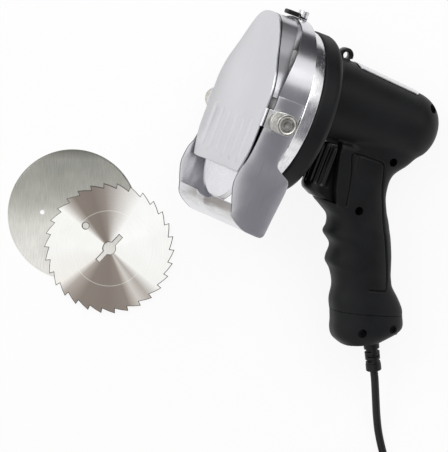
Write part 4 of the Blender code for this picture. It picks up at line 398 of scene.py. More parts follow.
def brushed_steel(name, colours, roughness, fine_axis, line_mm, run_mm, depth=0.00001, streak=0.06,
                  cloud_mm=22.0, painted_light_tones=None, painted_shade_line=None, axes=SLICER):
    """Brushed metal: lines across fine_axis, each run_mm long, with cloudy polish between them.

    axes says whose axes they are; tones paint light and shade into the colour along an axis, and a seam paints a dark
    line of shade across one.
    """
    material, tree, shader = new_material(name)
    shader.inputs["Metallic"].default_value = 1.0
    place = add_node(tree, "TexCoord")
    place = add_node(tree, "Mapping", {"vector_type": "TEXTURE", "Location": axes.translation,
                                       "Rotation": axes.to_euler()}, {"Vector": place.outputs["Object"]})
    scale = [1000 / run_mm] * 3
    scale[fine_axis] = 1000 / line_mm
    stretch = add_node(tree, "Mapping", {"Scale": scale}, {"Vector": place.outputs["Vector"]})
    lines = add_node(tree, "TexNoise", {"Scale": 1.0, "Detail": 3.0, "Roughness": 0.6},
                     {"Vector": stretch.outputs["Vector"]})
    clouds = add_node(tree, "TexNoise", {"Scale": 1000 / cloud_mm, "Detail": 3.0},
                      {"Vector": place.outputs["Vector"]})
    both = add_node(tree, "Mix", {"data_type": "FLOAT", "Factor": 0.45},
                    {2: lines.outputs["Fac"], 3: clouds.outputs["Fac"]})
    tint = add_node(tree, "ValToRGB", None, {"Fac": both.outputs[0]})
    tint.color_ramp.elements[0].position = 0.32
    tint.color_ramp.elements[0].color = linear(colours[0])
    tint.color_ramp.elements[1].position = 0.68
    tint.color_ramp.elements[1].color = linear(colours[1])
    polish = add_node(tree, "MapRange", {"From Min": 0.3, "From Max": 0.7, "To Min": roughness - streak / 2,
                                         "To Max": roughness + streak}, {"Value": both.outputs[0]})
    bump = add_node(tree, "Bump", {"Strength": 0.4, "Distance": depth}, {"Height": lines.outputs["Fac"]})
    colour = tint.outputs["Color"]
    parts = add_node(tree, "SeparateXYZ", None, {"Vector": place.outputs["Vector"]})
    # Painted light and shade: the colour ramped along one axis.
    if painted_light_tones:
        axis, low, high, stops = painted_light_tones
        colour = painted_light_graded(tree, colour, parts.outputs[axis], low, high, stops)
    # Painted shade: a dark line across one axis.
    if painted_shade_line:
        axis, at, half = painted_shade_line
        near = add_node(tree, "Math", {"operation": "COMPARE", 1: at, 2: half}, {0: parts.outputs[axis]})
        colour = add_node(tree, "Mix", {"data_type": "RGBA", 7: linear("#3A3A3D")},
                          {"Factor": near.outputs[0], 6: colour}).outputs[2]
    tree.links.new(colour, shader.inputs["Base Color"])
    tree.links.new(polish.outputs["Result"], shader.inputs["Roughness"])
    tree.links.new(bump.outputs["Normal"], shader.inputs["Normal"])
    return material


spun_steel = brushed_steel("spun_stainless", ("#CFCFD2", "#F4F4F5"), 0.20, 0, BRUSH_LINE_MM, 6.0, 0.00002,
                           0.12, 7.0)
inner = COVER_RADIUS - COVER_WALL
rim = CASE_FRONT + 0.0003
cover_form = turned(rounded((
    (COVER_FRONT - COVER_WALL, 0), (COVER_FRONT - COVER_WALL, inner), (rim, inner), (rim, COVER_RADIUS),
    (COVER_FRONT, COVER_RADIUS), (COVER_FRONT, 0)), 0.0009), 160)
add_piece("gear_cover_drum", cover_form, spun_steel, "slicer_body", ("gear_cover",))


# Blade guard: one stainless sheet of 1.2 mm, cut and folded into an arch with two wings, a web
# behind, and a tray below whose lip dips in the middle. Brushed along its bend, edges broken.
GUARD_SHEET = 0.0012
GUARD_HALF_WIDTH = 0.060
GUARD_REAR = 0.0143
ARCH_RISE = 0.007
WING_DROP = 0.0963
WING_REACH = 0.046
WEB_DROP = 0.026
WEB_HOLE = 0.044
ARCH_STEPS = 72
ARCH_FRONT_SHARES = (0.79, 0.755, 0.680, 0.615, 0.560, 0.546, 0.544)
WING_FRONT_SHARES = (
    (0.79, -0.073), (0.79, 0.0), (0.80, 0.06), (0.826, 0.12), (0.85, 0.21), (0.87, 0.33),
    (0.909, 0.463), (0.97, 0.544), (0.998, 0.633), (0.989, 0.696), (0.939, 0.774), (0.898, 0.826),
    (0.846, 0.900), (0.748, 0.944), (0.641, 0.972), (0.548, 0.991), (0.435, 0.997), (0.272, 1.0))
WING_REAR_SHARES = (
    (0.209, 0.987), (0.180, 0.955), (0.157, 0.848), (0.120, 0.700), (0.098, 0.590), (0.108, 0.535),
    (0.143, 0.510), (0.228, 0.488), (0.317, 0.464), (0.378, 0.440), (0.393, 0.400), (0.367, 0.324),
    (0.330, 0.211), (0.312, 0.06), (0.311, -0.073))
LIP_PLACE = 11
LIP_DIP = 0.0035
LIP_DIP_HALF_WIDTH = 0.018
TRAY_STEPS = 48


def slab(outline, low, high, across="y", edge=0.0002):
    """A flat sheet cut to an outline, as thick as from low to high, with its edges broken."""
    turn = {"x": lambda a, b, c: (c, a, b), "y": lambda a, b, c: (a, c, b), "z": lambda a, b, c: (a, b, c)}
    form = bmesh.new()
    lower = [form.verts.new(turn[across](*point, low)) for point in outline]
    upper = [form.verts.new(turn[across](*point, high)) for point in outline]
    form.faces.new(lower)
    form.faces.new(upper)
    for index in range(len(outline)):
        after = (index + 1) % len(outline)
        form.faces.new((lower[index], lower[after], upper[after], upper[index]))
    bmesh.ops.recalc_face_normals(form, faces=form.faces)
    if edge:
        rims = [side for side in form.edges if len(side.link_faces) == 2
                and max(len(face.verts) for face in side.link_faces) > 4]
        bmesh.ops.bevel(form, geom=rims, offset=edge, segments=2, profile=0.5, affect="EDGES")
    return form


def merged(*forms):
    """Several forms in one, left side by side."""
    whole = forms[0]
    for form in forms[1:]:
        spare = bpy.data.meshes.new("spare")
        form.to_mesh(spare)
        form.free()
        whole.from_mesh(spare)
        bpy.data.meshes.remove(spare)
    return whole


def grid_form(rows, wrap=False):
    """A form skinned over rows of points; each row is closed when wrap is set."""
    form = bmesh.new()
    lines = [[form.verts.new(point) for point in row] for row in rows]
    for near, far in zip(lines, lines[1:]):
        for place in range(len(near) if wrap else len(near) - 1):
            after = (place + 1) % len(near)
            form.faces.new((near[place], near[after], far[after], far[place]))
    if wrap:
        form.faces.new(lines[0])
        form.faces.new(lines[-1])
    return form


def arch_front(degrees):
    place = (90 - abs(90 - degrees)) / 15
    index = min(int(place), 5)
    near, far = ARCH_FRONT_SHARES[index], ARCH_FRONT_SHARES[index + 1]
    before = ARCH_FRONT_SHARES[abs(index - 1)]
    after = ARCH_FRONT_SHARES[index + 2 if index < 5 else 5]
    t = place - index
    return WING_REACH * 0.5 * (2 * near + (far - before) * t + (2 * before - 5 * near + 4 * far - after) * t ** 2
                               + (3 * near - before - 3 * far + after) * t ** 3)


folded_steel = brushed_steel("folded_stainless", ("#D2D2D6", "#E2E2E6"), 0.21, 0, 0.25, 30.0, 0.000004,
                             0.04, 34.0)
arch_rows = []
for step in range(ARCH_STEPS + 1):
    degrees = 180 * step / ARCH_STEPS
    angle = math.radians(degrees)
    outer = (GUARD_HALF_WIDTH * math.cos(angle), ARCH_RISE + GUARD_HALF_WIDTH * math.sin(angle))
    thin = GUARD_HALF_WIDTH - GUARD_SHEET
    under = (thin * math.cos(angle), ARCH_RISE + thin * math.sin(angle))
    front = arch_front(degrees)
    arch_rows.append((
        (GUARD_REAR, *outer), ((GUARD_REAR * 2 + front) / 3, *outer), ((GUARD_REAR + front * 2) / 3, *outer),
        (front - 0.0003, *outer), (front, *(Vector(outer) * 0.7 + Vector(under) * 0.3)),
        (front, *(Vector(outer) * 0.3 + Vector(under) * 0.7)), (front - 0.0003, *under), (GUARD_REAR, *under)))
guard_forms = [grid_form(arch_rows, wrap=True)]
wing_row = [Vector((WING_REACH * reach, -WING_DROP * drop)) for reach, drop in WING_FRONT_SHARES + WING_REAR_SHARES]
wing_outline = smooth_row(wing_row, 5)
for side in (1, -1):
    low, high = sorted((side * GUARD_HALF_WIDTH, side * (GUARD_HALF_WIDTH - GUARD_SHEET)))
    guard_forms.append(slab([tuple(point) for point in wing_outline], low, high))
    guard_forms.append(turned(rounded((
        (-0.0028, 0), (-0.0028, 0.005), (0.0002, 0.005), (0.0002, 0)), 0.0004), 6 * 8))
    turn = Matrix.Rotation(side * math.pi / 2, 4, "Z")
    place = Matrix.Translation((0.030, side * (GUARD_HALF_WIDTH - GUARD_SHEET), -0.011)) @ turn
    guard_forms[-1].transform(place)
web_rear = GUARD_REAR + 0.0001
web_half = GUARD_HALF_WIDTH - GUARD_SHEET
web_outline = [(web_half * math.cos(math.pi * step / ARCH_STEPS),
                ARCH_RISE + web_half * math.sin(math.pi * step / ARCH_STEPS)) for step in range(ARCH_STEPS + 1)]
web_outline += [(-web_half, -WEB_DROP), (web_half, -WEB_DROP)]
web_hole = [(WEB_HOLE * math.cos(2 * math.pi * step / 96), WEB_HOLE * math.sin(2 * math.pi * step / 96))
            for step in range(96)]


def cut_sheet(outlines, thickness, edge):
    """A flat sheet lying on its plane with the first outline as its edge and the rest as holes."""
    curve = bpy.data.curves.new("sheet", "CURVE")
    curve.dimensions = "2D"
    curve.fill_mode = "BOTH"
    curve.extrude = thickness / 2 - edge
    curve.bevel_depth = edge
    curve.bevel_resolution = 1
    curve.offset = -edge
    for outline in outlines:
        spline = curve.splines.new("POLY")
        spline.points.add(len(outline) - 1)
        for point, place in zip(spline.points, outline):
            point.co = (*place, 0, 1)
        spline.use_cyclic_u = True
    carrier = bpy.data.objects.new("sheet", curve)
    form = bmesh.new()
    form.from_mesh(carrier.to_mesh())
    carrier.to_mesh_clear()
    bpy.data.objects.remove(carrier)
    bpy.data.curves.remove(curve)
    bmesh.ops.remove_doubles(form, verts=form.verts, dist=0.00001)
    bmesh.ops.translate(form, verts=form.verts, vec=(0, 0, thickness / 2))
    return form


web_form = cut_sheet([web_outline, web_hole], GUARD_SHEET, 0.0001)
web_form.transform(Matrix(((0, 0, 1, web_rear), (1, 0, 0, 0), (0, 1, 0, 0), (0, 0, 0, 1))))
guard_forms.append(web_form)
tray_path = smooth_row(wing_row[LIP_PLACE:len(WING_FRONT_SHARES)], 6)
tray_rows = []
for step in range(TRAY_STEPS + 1):
    across = web_half * (2 * step / TRAY_STEPS - 1)
    dip = LIP_DIP * max(0, 1 - abs(across) / LIP_DIP_HALF_WIDTH) ** 0.7 if abs(across) < LIP_DIP_HALF_WIDTH else 0
    under, upper = [], []
    for index, point in enumerate(tray_path):
        along = (tray_path[min(index + 1, len(tray_path) - 1)] - tray_path[max(index - 1, 0)]).normalized()
        lower = point - Vector((0, dip * (1 - index / (len(tray_path) - 1)) ** 4))
        inward = Vector((along.y, -along.x))
        under.append(lower + inward * 0.0002)
        upper.append(lower + inward * (0.0002 + GUARD_SHEET))
    tray_rows.append([(point.x, across, point.y) for point in under + upper[::-1]])
guard_forms.append(grid_form(tray_rows, wrap=True))
# The guard's front edges are partly real and partly painted: a sheared edge is rougher, and its dark colour is a
# painted shadow line along the guard's front edge.
sheared_edge_painted_shade = brushed_steel("sheared_sheet_edge_painted_shade", ("#4A4A4E", "#6A6A6E"), 0.35, 0, 0.3, 5.0, 0.000006)
guard_form = merged(*guard_forms)
guard_form.normal_update()
for face in guard_form.faces:
    middle = face.calc_center_median()
    if abs(face.normal.x) > 0.35 and middle.x > 0.018 and (abs(middle.y) > 0.0585 or middle.z > 0):
        face.material_index = 1
guard = add_piece("blade_guard_sheet", guard_form, folded_steel, "slicer_body",
                  ("blade_guard",), crease=50)
guard.data.materials.append(sheared_edge_painted_shade)


# Gauge plate: satin stainless sheet of 1.5 mm in front of the blade, which sets the slice's
# thickness. Its upper edge is flanged back, six flutes stiffen its lower half, and two slotted
# tabs are bent back outside the wings, where the thumb screws clamp them.
PLATE_FACE = 0.041
PLATE_SHEET = 0.0015
PLATE_HALF_WIDTH = 0.0582
PLATE_TOP = 0.065
PLATE_BOTTOM = 0.056
PLATE_LOW_SHARES = ((0.0, -1.0), (0.4, -1.0), (0.79, -1.0), (0.855, -0.96), (0.905, -0.865), (0.965, -0.72), (1.0, -0.54), (1.0, -0.06))
PLATE_HIGH_SHARES = (
    (1.0, 0.08), (0.975, 0.18), (0.90, 0.33), (0.80, 0.45), (0.705, 0.56), (0.62, 0.67),
    (0.545, 0.765), (0.47, 0.85), (0.38, 0.925), (0.25, 0.977), (0.12, 0.996), (0.0, 1.0))
RIM_SIDE_DEPTH = 0.0048
RIM_TOP_DEPTH = 0.0150
BEND_RADIUS = 0.0012
FLUTE_COUNT = 6
FLUTE_SPACING = 0.0165
FLUTE_WIDTH = 0.0078
FLUTE_HEIGHT = 0.0012
FLUTE_TOP = -0.013
FLUTE_BOTTOM = -0.050
TAB_OUTER = 0.0615
TAB_INNER = 0.0603
TAB_BACK = 0.0185
TAB_LOW = -0.018
TAB_HIGH = -0.004
THUMB_PLACE = 0.030
THUMB_DROP = 0.011

# The plate's dark line just behind its face, along the rim, is painted shade.
satin_steel = brushed_steel("satin_stainless", ("#D0D0D4", "#DADADE"), 0.34, 1, 0.3, 40.0, 0.000004, 0.04,
                            30.0, painted_shade_line=(0, PLATE_FACE - 0.0004, 0.0005))
half_outline = smooth_row([Vector((PLATE_HALF_WIDTH * side, PLATE_BOTTOM * height))
                           for side, height in PLATE_LOW_SHARES], 4)[:-1]
flange_row = smooth_row([Vector((PLATE_HALF_WIDTH * side, PLATE_TOP * height))
                         for side, height in PLATE_HIGH_SHARES], 5)
plate_outline = [tuple(point) for point in half_outline + flange_row]
plate_outline += [(-across, rise) for across, rise in reversed(plate_outline[1:-1])]
plate_forms = [slab(plate_outline, PLATE_FACE, PLATE_FACE + PLATE_SHEET, "x", 0.0004)]
flange_line = flange_row + [Vector((-point.x, point.y)) for point in reversed(flange_row[:-1])]
flange_rows = []
for index, point in enumerate(flange_line):
    along = (flange_line[min(index + 1, len(flange_line) - 1)] - flange_line[max(index - 1, 0)]).normalized()
    inward = Vector((-along.y, along.x))
    depth = RIM_SIDE_DEPTH + (RIM_TOP_DEPTH - RIM_SIDE_DEPTH) * max(point.y, 0) / PLATE_TOP
    section = [(PLATE_SHEET * 0.4, 0), (-depth + 0.0003, 0), (-depth, 0.0004), (-depth, PLATE_SHEET - 0.0004),
               (-depth + 0.0003, PLATE_SHEET), (PLATE_SHEET * 0.4, PLATE_SHEET)]
    flange_rows.append([(PLATE_FACE + back, *(point + inward * inset)) for back, inset in section])
plate_forms.append(grid_form(flange_rows, wrap=True))
for count in range(FLUTE_COUNT):
    middle = (count - (FLUTE_COUNT - 1) / 2) * FLUTE_SPACING
    rows = []
    for step in range(33):
        share = step / 32
        fade = min(1, math.sin(math.pi * share) * 3.2)
        row = []
        for place in range(13):
            wide = place / 12 * 2 - 1
            rise = FLUTE_HEIGHT * fade * math.cos(wide * math.pi / 2) ** 2
            row.append((PLATE_FACE + PLATE_SHEET - 0.00002 + rise,
                        middle + wide * FLUTE_WIDTH / 2 * (0.55 + 0.45 * fade),
                        FLUTE_BOTTOM + (FLUTE_TOP - FLUTE_BOTTOM) * share))
        rows.append([(PLATE_FACE + PLATE_SHEET / 2, row[0][1], row[0][2])] + row
                    + [(PLATE_FACE + PLATE_SHEET / 2, row[-1][1], row[-1][2])])
    plate_forms.append(grid_form(rows, wrap=True))
tab_middle = (TAB_LOW + TAB_HIGH) / 2
tab_half = (TAB_HIGH - TAB_LOW) / 2
for side in (1, -1):
    tab = [(PLATE_FACE + PLATE_SHEET - BEND_RADIUS, TAB_HIGH), (TAB_BACK + tab_half * 0.6, TAB_HIGH)]
    tab += [(TAB_BACK + tab_half * 0.6 - tab_half * 0.6 * math.sin(angle), tab_middle + tab_half * math.cos(angle))
            for angle in (math.pi * step / 10 for step in range(1, 10))]
    tab += [(TAB_BACK + tab_half * 0.6, TAB_LOW), (PLATE_FACE + PLATE_SHEET - BEND_RADIUS, TAB_LOW)]
    slot = [(0.0235 - 0.0028 * math.sin(angle), tab_middle + 0.0028 * math.cos(angle))
            for angle in (math.pi * step / 12 for step in range(13))]
    slot += [(0.0315 + 0.0028 * math.sin(angle), tab_middle - 0.0028 * math.cos(angle))
             for angle in (math.pi * step / 12 for step in range(13))]
    wall = cut_sheet([tab, slot], TAB_OUTER - TAB_INNER, 0.00015)
    wall.transform(Matrix(((1, 0, 0, 0), (0, 0, side, side * TAB_INNER), (0, 1, 0, 0), (0, 0, 0, 1))))
    plate_forms.append(wall)
    bend = rounded([(PLATE_FACE, side * (PLATE_HALF_WIDTH - 0.0015)), (PLATE_FACE + PLATE_SHEET, side * (PLATE_HALF_WIDTH - 0.0015)),
                    (PLATE_FACE + PLATE_SHEET, side * TAB_OUTER), (PLATE_FACE - 0.0006, side * TAB_OUTER),
                    (PLATE_FACE - 0.0006, side * TAB_INNER), (PLATE_FACE, side * TAB_INNER)], BEND_RADIUS, closed=True)
    plate_forms.append(slab(bend, TAB_LOW, TAB_HIGH, "z", 0))
add_piece("gauge_plate_sheet", merged(*plate_forms), satin_steel, "gauge_body",
          ("gauge_plate",), crease=30)


# Thumb screws: nickel-plated brass, turned, with a collar, a groove and a finely knurled head.
# They clamp the plate's tabs to weld nuts in the wings, each over a plain washer.
THUMB_HEAD_RADIUS = 0.008
KNURL_COUNT = 60
KNURL_SHARE = 0.972


def nickel_plate(name, colours, roughness, ring_mm):
    """Plated metal turned about its own forward axis: faint tool rings, yellowish with wear."""
    material, tree, shader = new_material(name)
    shader.inputs["Metallic"].default_value = 1.0
    place = add_node(tree, "TexCoord")
    flat = add_node(tree, "VectorMath", {"operation": "MULTIPLY", 1: (0, 1, 1)}, {0: place.outputs["Object"]})
    radius = add_node(tree, "VectorMath", {"operation": "LENGTH"}, {0: flat.outputs[0]})
    rings = add_node(tree, "TexNoise", {"noise_dimensions": "1D", "Scale": 1000 / ring_mm, "Detail": 2.0},
                     {"W": radius.outputs["Value"]})
    wear = add_node(tree, "TexNoise", {"Scale": 260.0, "Detail": 4.0}, {"Vector": place.outputs["Object"]})
    both = add_node(tree, "Mix", {"data_type": "FLOAT", "Factor": 0.5},
                    {2: rings.outputs["Fac"], 3: wear.outputs["Fac"]})
    tint = add_node(tree, "ValToRGB", None, {"Fac": both.outputs[0]})
    tint.color_ramp.elements[0].position = 0.36
    tint.color_ramp.elements[0].color = linear(colours[0])
    tint.color_ramp.elements[1].position = 0.62
    tint.color_ramp.elements[1].color = linear(colours[1])
    polish = add_node(tree, "MapRange", {"From Min": 0.3, "From Max": 0.7, "To Min": roughness - 0.06,
                                         "To Max": roughness + 0.14}, {"Value": both.outputs[0]})
    bump = add_node(tree, "Bump", {"Strength": 0.6, "Distance": 0.00012}, {"Height": rings.outputs["Fac"]})
    tree.links.new(tint.outputs["Color"], shader.inputs["Base Color"])
    tree.links.new(polish.outputs["Result"], shader.inputs["Roughness"])
    tree.links.new(bump.outputs["Normal"], shader.inputs["Normal"])
    return material


nickel = nickel_plate("nickel_plated_brass", ("#8F8C84", "#E0DED6"), 0.26, 0.8)
for side, name in ((1, "left"), (-1, "right")):
    screw_form = turned(rounded((
        (-0.0067, 0), (-0.0067, 0.0025), (0.0016, 0.0025), (0.0016, 0.0078), (0.0049, 0.0078),
        (0.0049, 0.0055), (0.0059, 0.0055), (0.0059, THUMB_HEAD_RADIUS), (0.0128, THUMB_HEAD_RADIUS),
        (0.0194, THUMB_HEAD_RADIUS), (0.0194, 0.0066), (0.0190, 0.0058), (0.0190, 0)), 0.0005), KNURL_COUNT * 2)
    for vertex in screw_form.verts:
        radius = math.hypot(vertex.co.y, vertex.co.z)
        if vertex.co.x > 0.0064 and vertex.co.x < 0.0191 and radius > THUMB_HEAD_RADIUS - 0.0002:
            tooth = round(math.atan2(vertex.co.z, vertex.co.y) / (math.pi / KNURL_COUNT))
            if tooth % 2:
                vertex.co.y *= KNURL_SHARE
                vertex.co.z *= KNURL_SHARE
    place = SLICER @ Matrix.Translation((THUMB_PLACE, side * TAB_OUTER, -THUMB_DROP)) @ Matrix.Rotation(
        side * math.pi / 2, 4, "Z")
    add_piece("thumb_screw_turned_" + name, screw_form, nickel, "thumb_%s_body" % name,
              ("thumb_screw_" + name,), place)
    washer_form = turned(rounded(((0.0003, 0.0028), (0.0003, 0.0072), (0.0013, 0.0072), (0.0013, 0.0028)),
                                 0.0003, closed=True), 64, closed=True)
    add_piece("thumb_washer_round_" + name, washer_form, nickel, "thumb_%s_body" % name,
              ("thumb_washer_" + name,), place)


# Round blades, all of one fitting: 1.3 mm stainless knife steel, ground on a turntable, so the
# polish runs in circles and the light fans out from the middle. The mounted one is smooth-edged;
# of the two spare ones on the table one is smooth and one has thirty saw teeth. On the toothed
# one that fan of light is also painted into the colour as a painted sheen, and the smooth one is
# painted from pale to grey across as painted shade.
BLADE_RADIUS = 0.050
BLADE_THICKNESS = 0.0013
BLADE_EDGE = 0.0003
BLADE_GRIND = 0.004
BLADE_HOLE = 0.0048
BLADE_PLANE = 0.0332
SLOT_HALF_LENGTH = 0.0129
SLOT_HALF_WIDTH = 0.0016
SLOT_ANGLE = 47.5
GROOVE_RADIUS = 0.0288
TOOTH_COUNT = 30
TOOTH_DEPTH = 0.0036
TOOTH_SHAPE = ((0.0, 1.0), (0.5, 0.5), (0.97, 0.0))
SMOOTH_PLACE = (-0.115296, -0.023531)
TOOTHED_PLACE = (-0.086896, -0.048731)


def knife_steel(name, colours, roughness, ring_mm, depth, painted_bow_tie=None):
    """Ground knife steel: circular grinding marks and a shallow groove about its own axis.

    A bow tie, when given, is a painted sheen: the grinding's highlight round that axis, painted into the colour by
    angle. The broken edges are painted dark as shade, and the groove's line is painted light as a highlight.
    """
    material, tree, shader = new_material(name)
    shader.inputs["Metallic"].default_value = 1.0
    shader.inputs["Anisotropic"].default_value = 0.6
    place = add_node(tree, "TexCoord")
    parts = add_node(tree, "SeparateXYZ", None, {"Vector": place.outputs["Object"]})
    flat = add_node(tree, "VectorMath", {"operation": "MULTIPLY", 1: (0, 1, 1)}, {0: place.outputs["Object"]})
    radius = add_node(tree, "VectorMath", {"operation": "LENGTH"}, {0: flat.outputs[0]})
    rings = add_node(tree, "TexNoise", {"noise_dimensions": "1D", "Scale": 1000 / ring_mm, "Detail": 3.0},
                     {"W": radius.outputs["Value"]})
    clouds = add_node(tree, "TexNoise", {"Scale": 60.0, "Detail": 3.0}, {"Vector": place.outputs["Object"]})
    both = add_node(tree, "Mix", {"data_type": "FLOAT", "Factor": 0.4},
                    {2: rings.outputs["Fac"], 3: clouds.outputs["Fac"]})
    tint = add_node(tree, "ValToRGB", None, {"Fac": both.outputs[0]})
    tint.color_ramp.elements[0].position = 0.3
    tint.color_ramp.elements[0].color = linear(colours[0])
    tint.color_ramp.elements[1].position = 0.7
    tint.color_ramp.elements[1].color = linear(colours[1])
    colour = tint.outputs["Color"]
    # Painted sheen: the bow-tie highlight painted into the colour by the angle round the axis.
    if painted_bow_tie:
        angle = add_node(tree, "Math", {"operation": "ARCTAN2"}, {0: parts.outputs["Z"], 1: parts.outputs["Y"]})
        colour = painted_light_graded(tree, colour, angle.outputs[0], -math.pi, math.pi, painted_bow_tie)
    # Painted shade: the broken edges, the faces that don't face along the axis, are painted dark to stand in for the
    # shadow along them.
    facing = add_node(tree, "SeparateXYZ", None, {"Vector": place.outputs["Normal"]})
    facing = add_node(tree, "Math", {"operation": "ABSOLUTE"}, {0: facing.outputs["X"]})
    broken = add_node(tree, "Math", {"operation": "LESS_THAN", 1: 0.95}, {0: facing.outputs[0]})
    colour = add_node(tree, "Mix", {"data_type": "RGBA", 7: linear("#4B4845")},
                      {"Factor": broken.outputs[0], 6: colour}).outputs[2]
    polish = add_node(tree, "MapRange", {"From Min": 0.3, "From Max": 0.7, "To Min": roughness - 0.03,
                                         "To Max": roughness + 0.05}, {"Value": both.outputs[0]})
    near = add_node(tree, "Math", {"operation": "COMPARE", 1: GROOVE_RADIUS, 2: 0.0003},
                    {0: radius.outputs["Value"]})
    groove = add_node(tree, "Math", {"operation": "MULTIPLY", 1: 1.5}, {0: near.outputs[0]})
    # Painted highlight: the colour along the groove is mixed towards near white.
    shine = add_node(tree, "Math", {"operation": "MULTIPLY", 1: 0.3}, {0: near.outputs[0]})
    colour = add_node(tree, "Mix", {"data_type": "RGBA", 7: linear("#FBFAF8")},
                      {"Factor": shine.outputs[0], 6: colour}).outputs[2]
    height = add_node(tree, "Math", {"operation": "SUBTRACT"}, {0: rings.outputs["Fac"], 1: groove.outputs[0]})
    bump = add_node(tree, "Bump", {"Strength": 0.5, "Distance": depth}, {"Height": height.outputs[0]})
    swirl = add_node(tree, "Tangent", {"direction_type": "RADIAL", "axis": "X"})
    tree.links.new(colour, shader.inputs["Base Color"])
    tree.links.new(polish.outputs["Result"], shader.inputs["Roughness"])
    tree.links.new(bump.outputs["Normal"], shader.inputs["Normal"])
    tree.links.new(swirl.outputs["Tangent"], shader.inputs["Tangent"])
    return material


def fitting_outline(turn):
    """The centre hole with its two drive slots, as one outline."""
    start = math.asin(SLOT_HALF_WIDTH / BLADE_HOLE)
    row = []
    for side in (0, math.pi):
        ends = [(BLADE_HOLE * math.cos(start), -SLOT_HALF_WIDTH), (SLOT_HALF_LENGTH, -SLOT_HALF_WIDTH),
                (SLOT_HALF_LENGTH, SLOT_HALF_WIDTH), (BLADE_HOLE * math.cos(start), SLOT_HALF_WIDTH)]
        row += [(math.cos(side) * x, math.cos(side) * y) for x, y in ends]
        for step in range(1, 10):
            angle = side + start + (math.pi - 2 * start) * step / 10
            row.append((BLADE_HOLE * math.cos(angle), BLADE_HOLE * math.sin(angle)))
    angle = math.radians(turn)
    return [(x * math.cos(angle) - y * math.sin(angle), x * math.sin(angle) + y * math.cos(angle)) for x, y in row]


def ring_outline(radius, centre=(0, 0), sides=128):
    return [(centre[0] + radius * math.cos(2 * math.pi * side / sides),
             centre[1] + radius * math.sin(2 * math.pi * side / sides)) for side in range(sides)]


def peg_outline(radius, reach, degrees):
    angle = math.radians(degrees)
    return ring_outline(radius, (reach * math.cos(angle), reach * math.sin(angle)), 32)


FACE_ALONG = Matrix(((0, 0, 1, 0), (1, 0, 0, 0), (0, 1, 0, 0), (0, 0, 0, 1)))
LAID_FLAT = FACE_ALONG.inverted()
ground_steel = knife_steel("ground_knife_steel", ("#DDDCE1", "#ECEBEF"), 0.24, 0.5, 0.000008)
# Painted sheen for the toothed spare: bright and dark sectors of its reflection, painted by angle round its axis.
PAINTED_SHEEN = ((0.0, "#FFFFFE"), (0.10, "#F4F1EC"), (0.125, "#B5ADA6"), (0.17, "#8F857E"), (0.25, "#8C827B"),
         (0.305, "#968C85"), (0.335, "#D9D4CE"), (0.362, "#B9B2AC"), (0.395, "#FFFFFD"), (0.66, "#FFFFFE"),
         (0.71, "#DCD8D4"), (0.765, "#9B928B"), (0.80, "#8A8079"), (0.848, "#8E847D"), (0.868, "#BDB6B0"),
         (0.893, "#FFFFFC"))
swirled_steel_painted_sheen = knife_steel("swirled_knife_steel_painted_sheen", ("#F0F0EF", "#FBFBFA"), 0.22, 0.6, 0.000008, PAINTED_SHEEN)
# The smooth spare is painted from pale on one side to dark grey on the other: painted shade across the laid blade.
plain_steel_painted_shade = brushed_steel("rolled_knife_steel_painted_shade", ("#D2D2CF", "#F6F5F2"), 0.24, 1, 0.5, 9.0, 0.000008, 0.06, 26.0,
                            (2, -0.050, 0.050, ((0.0, "#FBFAF7"), (0.42, "#F1F0EC"), (0.56, "#C6C6C1"),
                                                (0.72, "#B4B4AF"), (0.92, "#A9A9A4"), (1.0, "#7C7C77"))),
                            axes=Matrix())


def smooth_blade(turn, pegs, ground):
    """A round blade whose edge is ground over a given width."""
    inner = BLADE_RADIUS - ground
    middle = cut_sheet([ring_outline(inner), fitting_outline(turn)] + pegs, BLADE_THICKNESS, 0.00005)
    middle.transform(FACE_ALONG)
    edge = ((0, inner), (0, BLADE_RADIUS), (BLADE_EDGE, BLADE_RADIUS), (BLADE_THICKNESS, inner))
    return merged(middle, turned(edge, 128, closed=True))


add_piece("mounted_blade_ground", smooth_blade(90, [], BLADE_GRIND), ground_steel, "blade_rotor",
          ("mounted_blade",), SLICER @ Matrix.Translation((BLADE_PLANE, 0, -SPINDLE_DROP)), 20)
add_piece("spare_smooth_ground", smooth_blade(SLOT_ANGLE, [peg_outline(0.00175, 0.0235, 176)], 0.0012), plain_steel_painted_shade,
          "spare_smooth_body", ("spare_smooth_blade",),
          Matrix.Translation((*SMOOTH_PLACE, 0)) @ LAID_FLAT, 20)
teeth = []
for tooth in range(TOOTH_COUNT):
    for share, deep in TOOTH_SHAPE:
        angle = 2 * math.pi * (tooth + share) / TOOTH_COUNT
        radius = BLADE_RADIUS - TOOTH_DEPTH * deep
        teeth.append((radius * math.cos(angle), radius * math.sin(angle)))
toothed_form = cut_sheet([teeth, fitting_outline(SLOT_ANGLE), peg_outline(0.0025, 0.025, 137)],
                         BLADE_THICKNESS, 0.0005)
toothed_form.transform(FACE_ALONG)
add_piece("spare_toothed_ground", toothed_form, swirled_steel_painted_sheen, "spare_toothed_body",
          ("spare_toothed_blade",),
          Matrix.Translation((*TOOTHED_PLACE, BLADE_THICKNESS + 0.0003)) @ LAID_FLAT, 20)


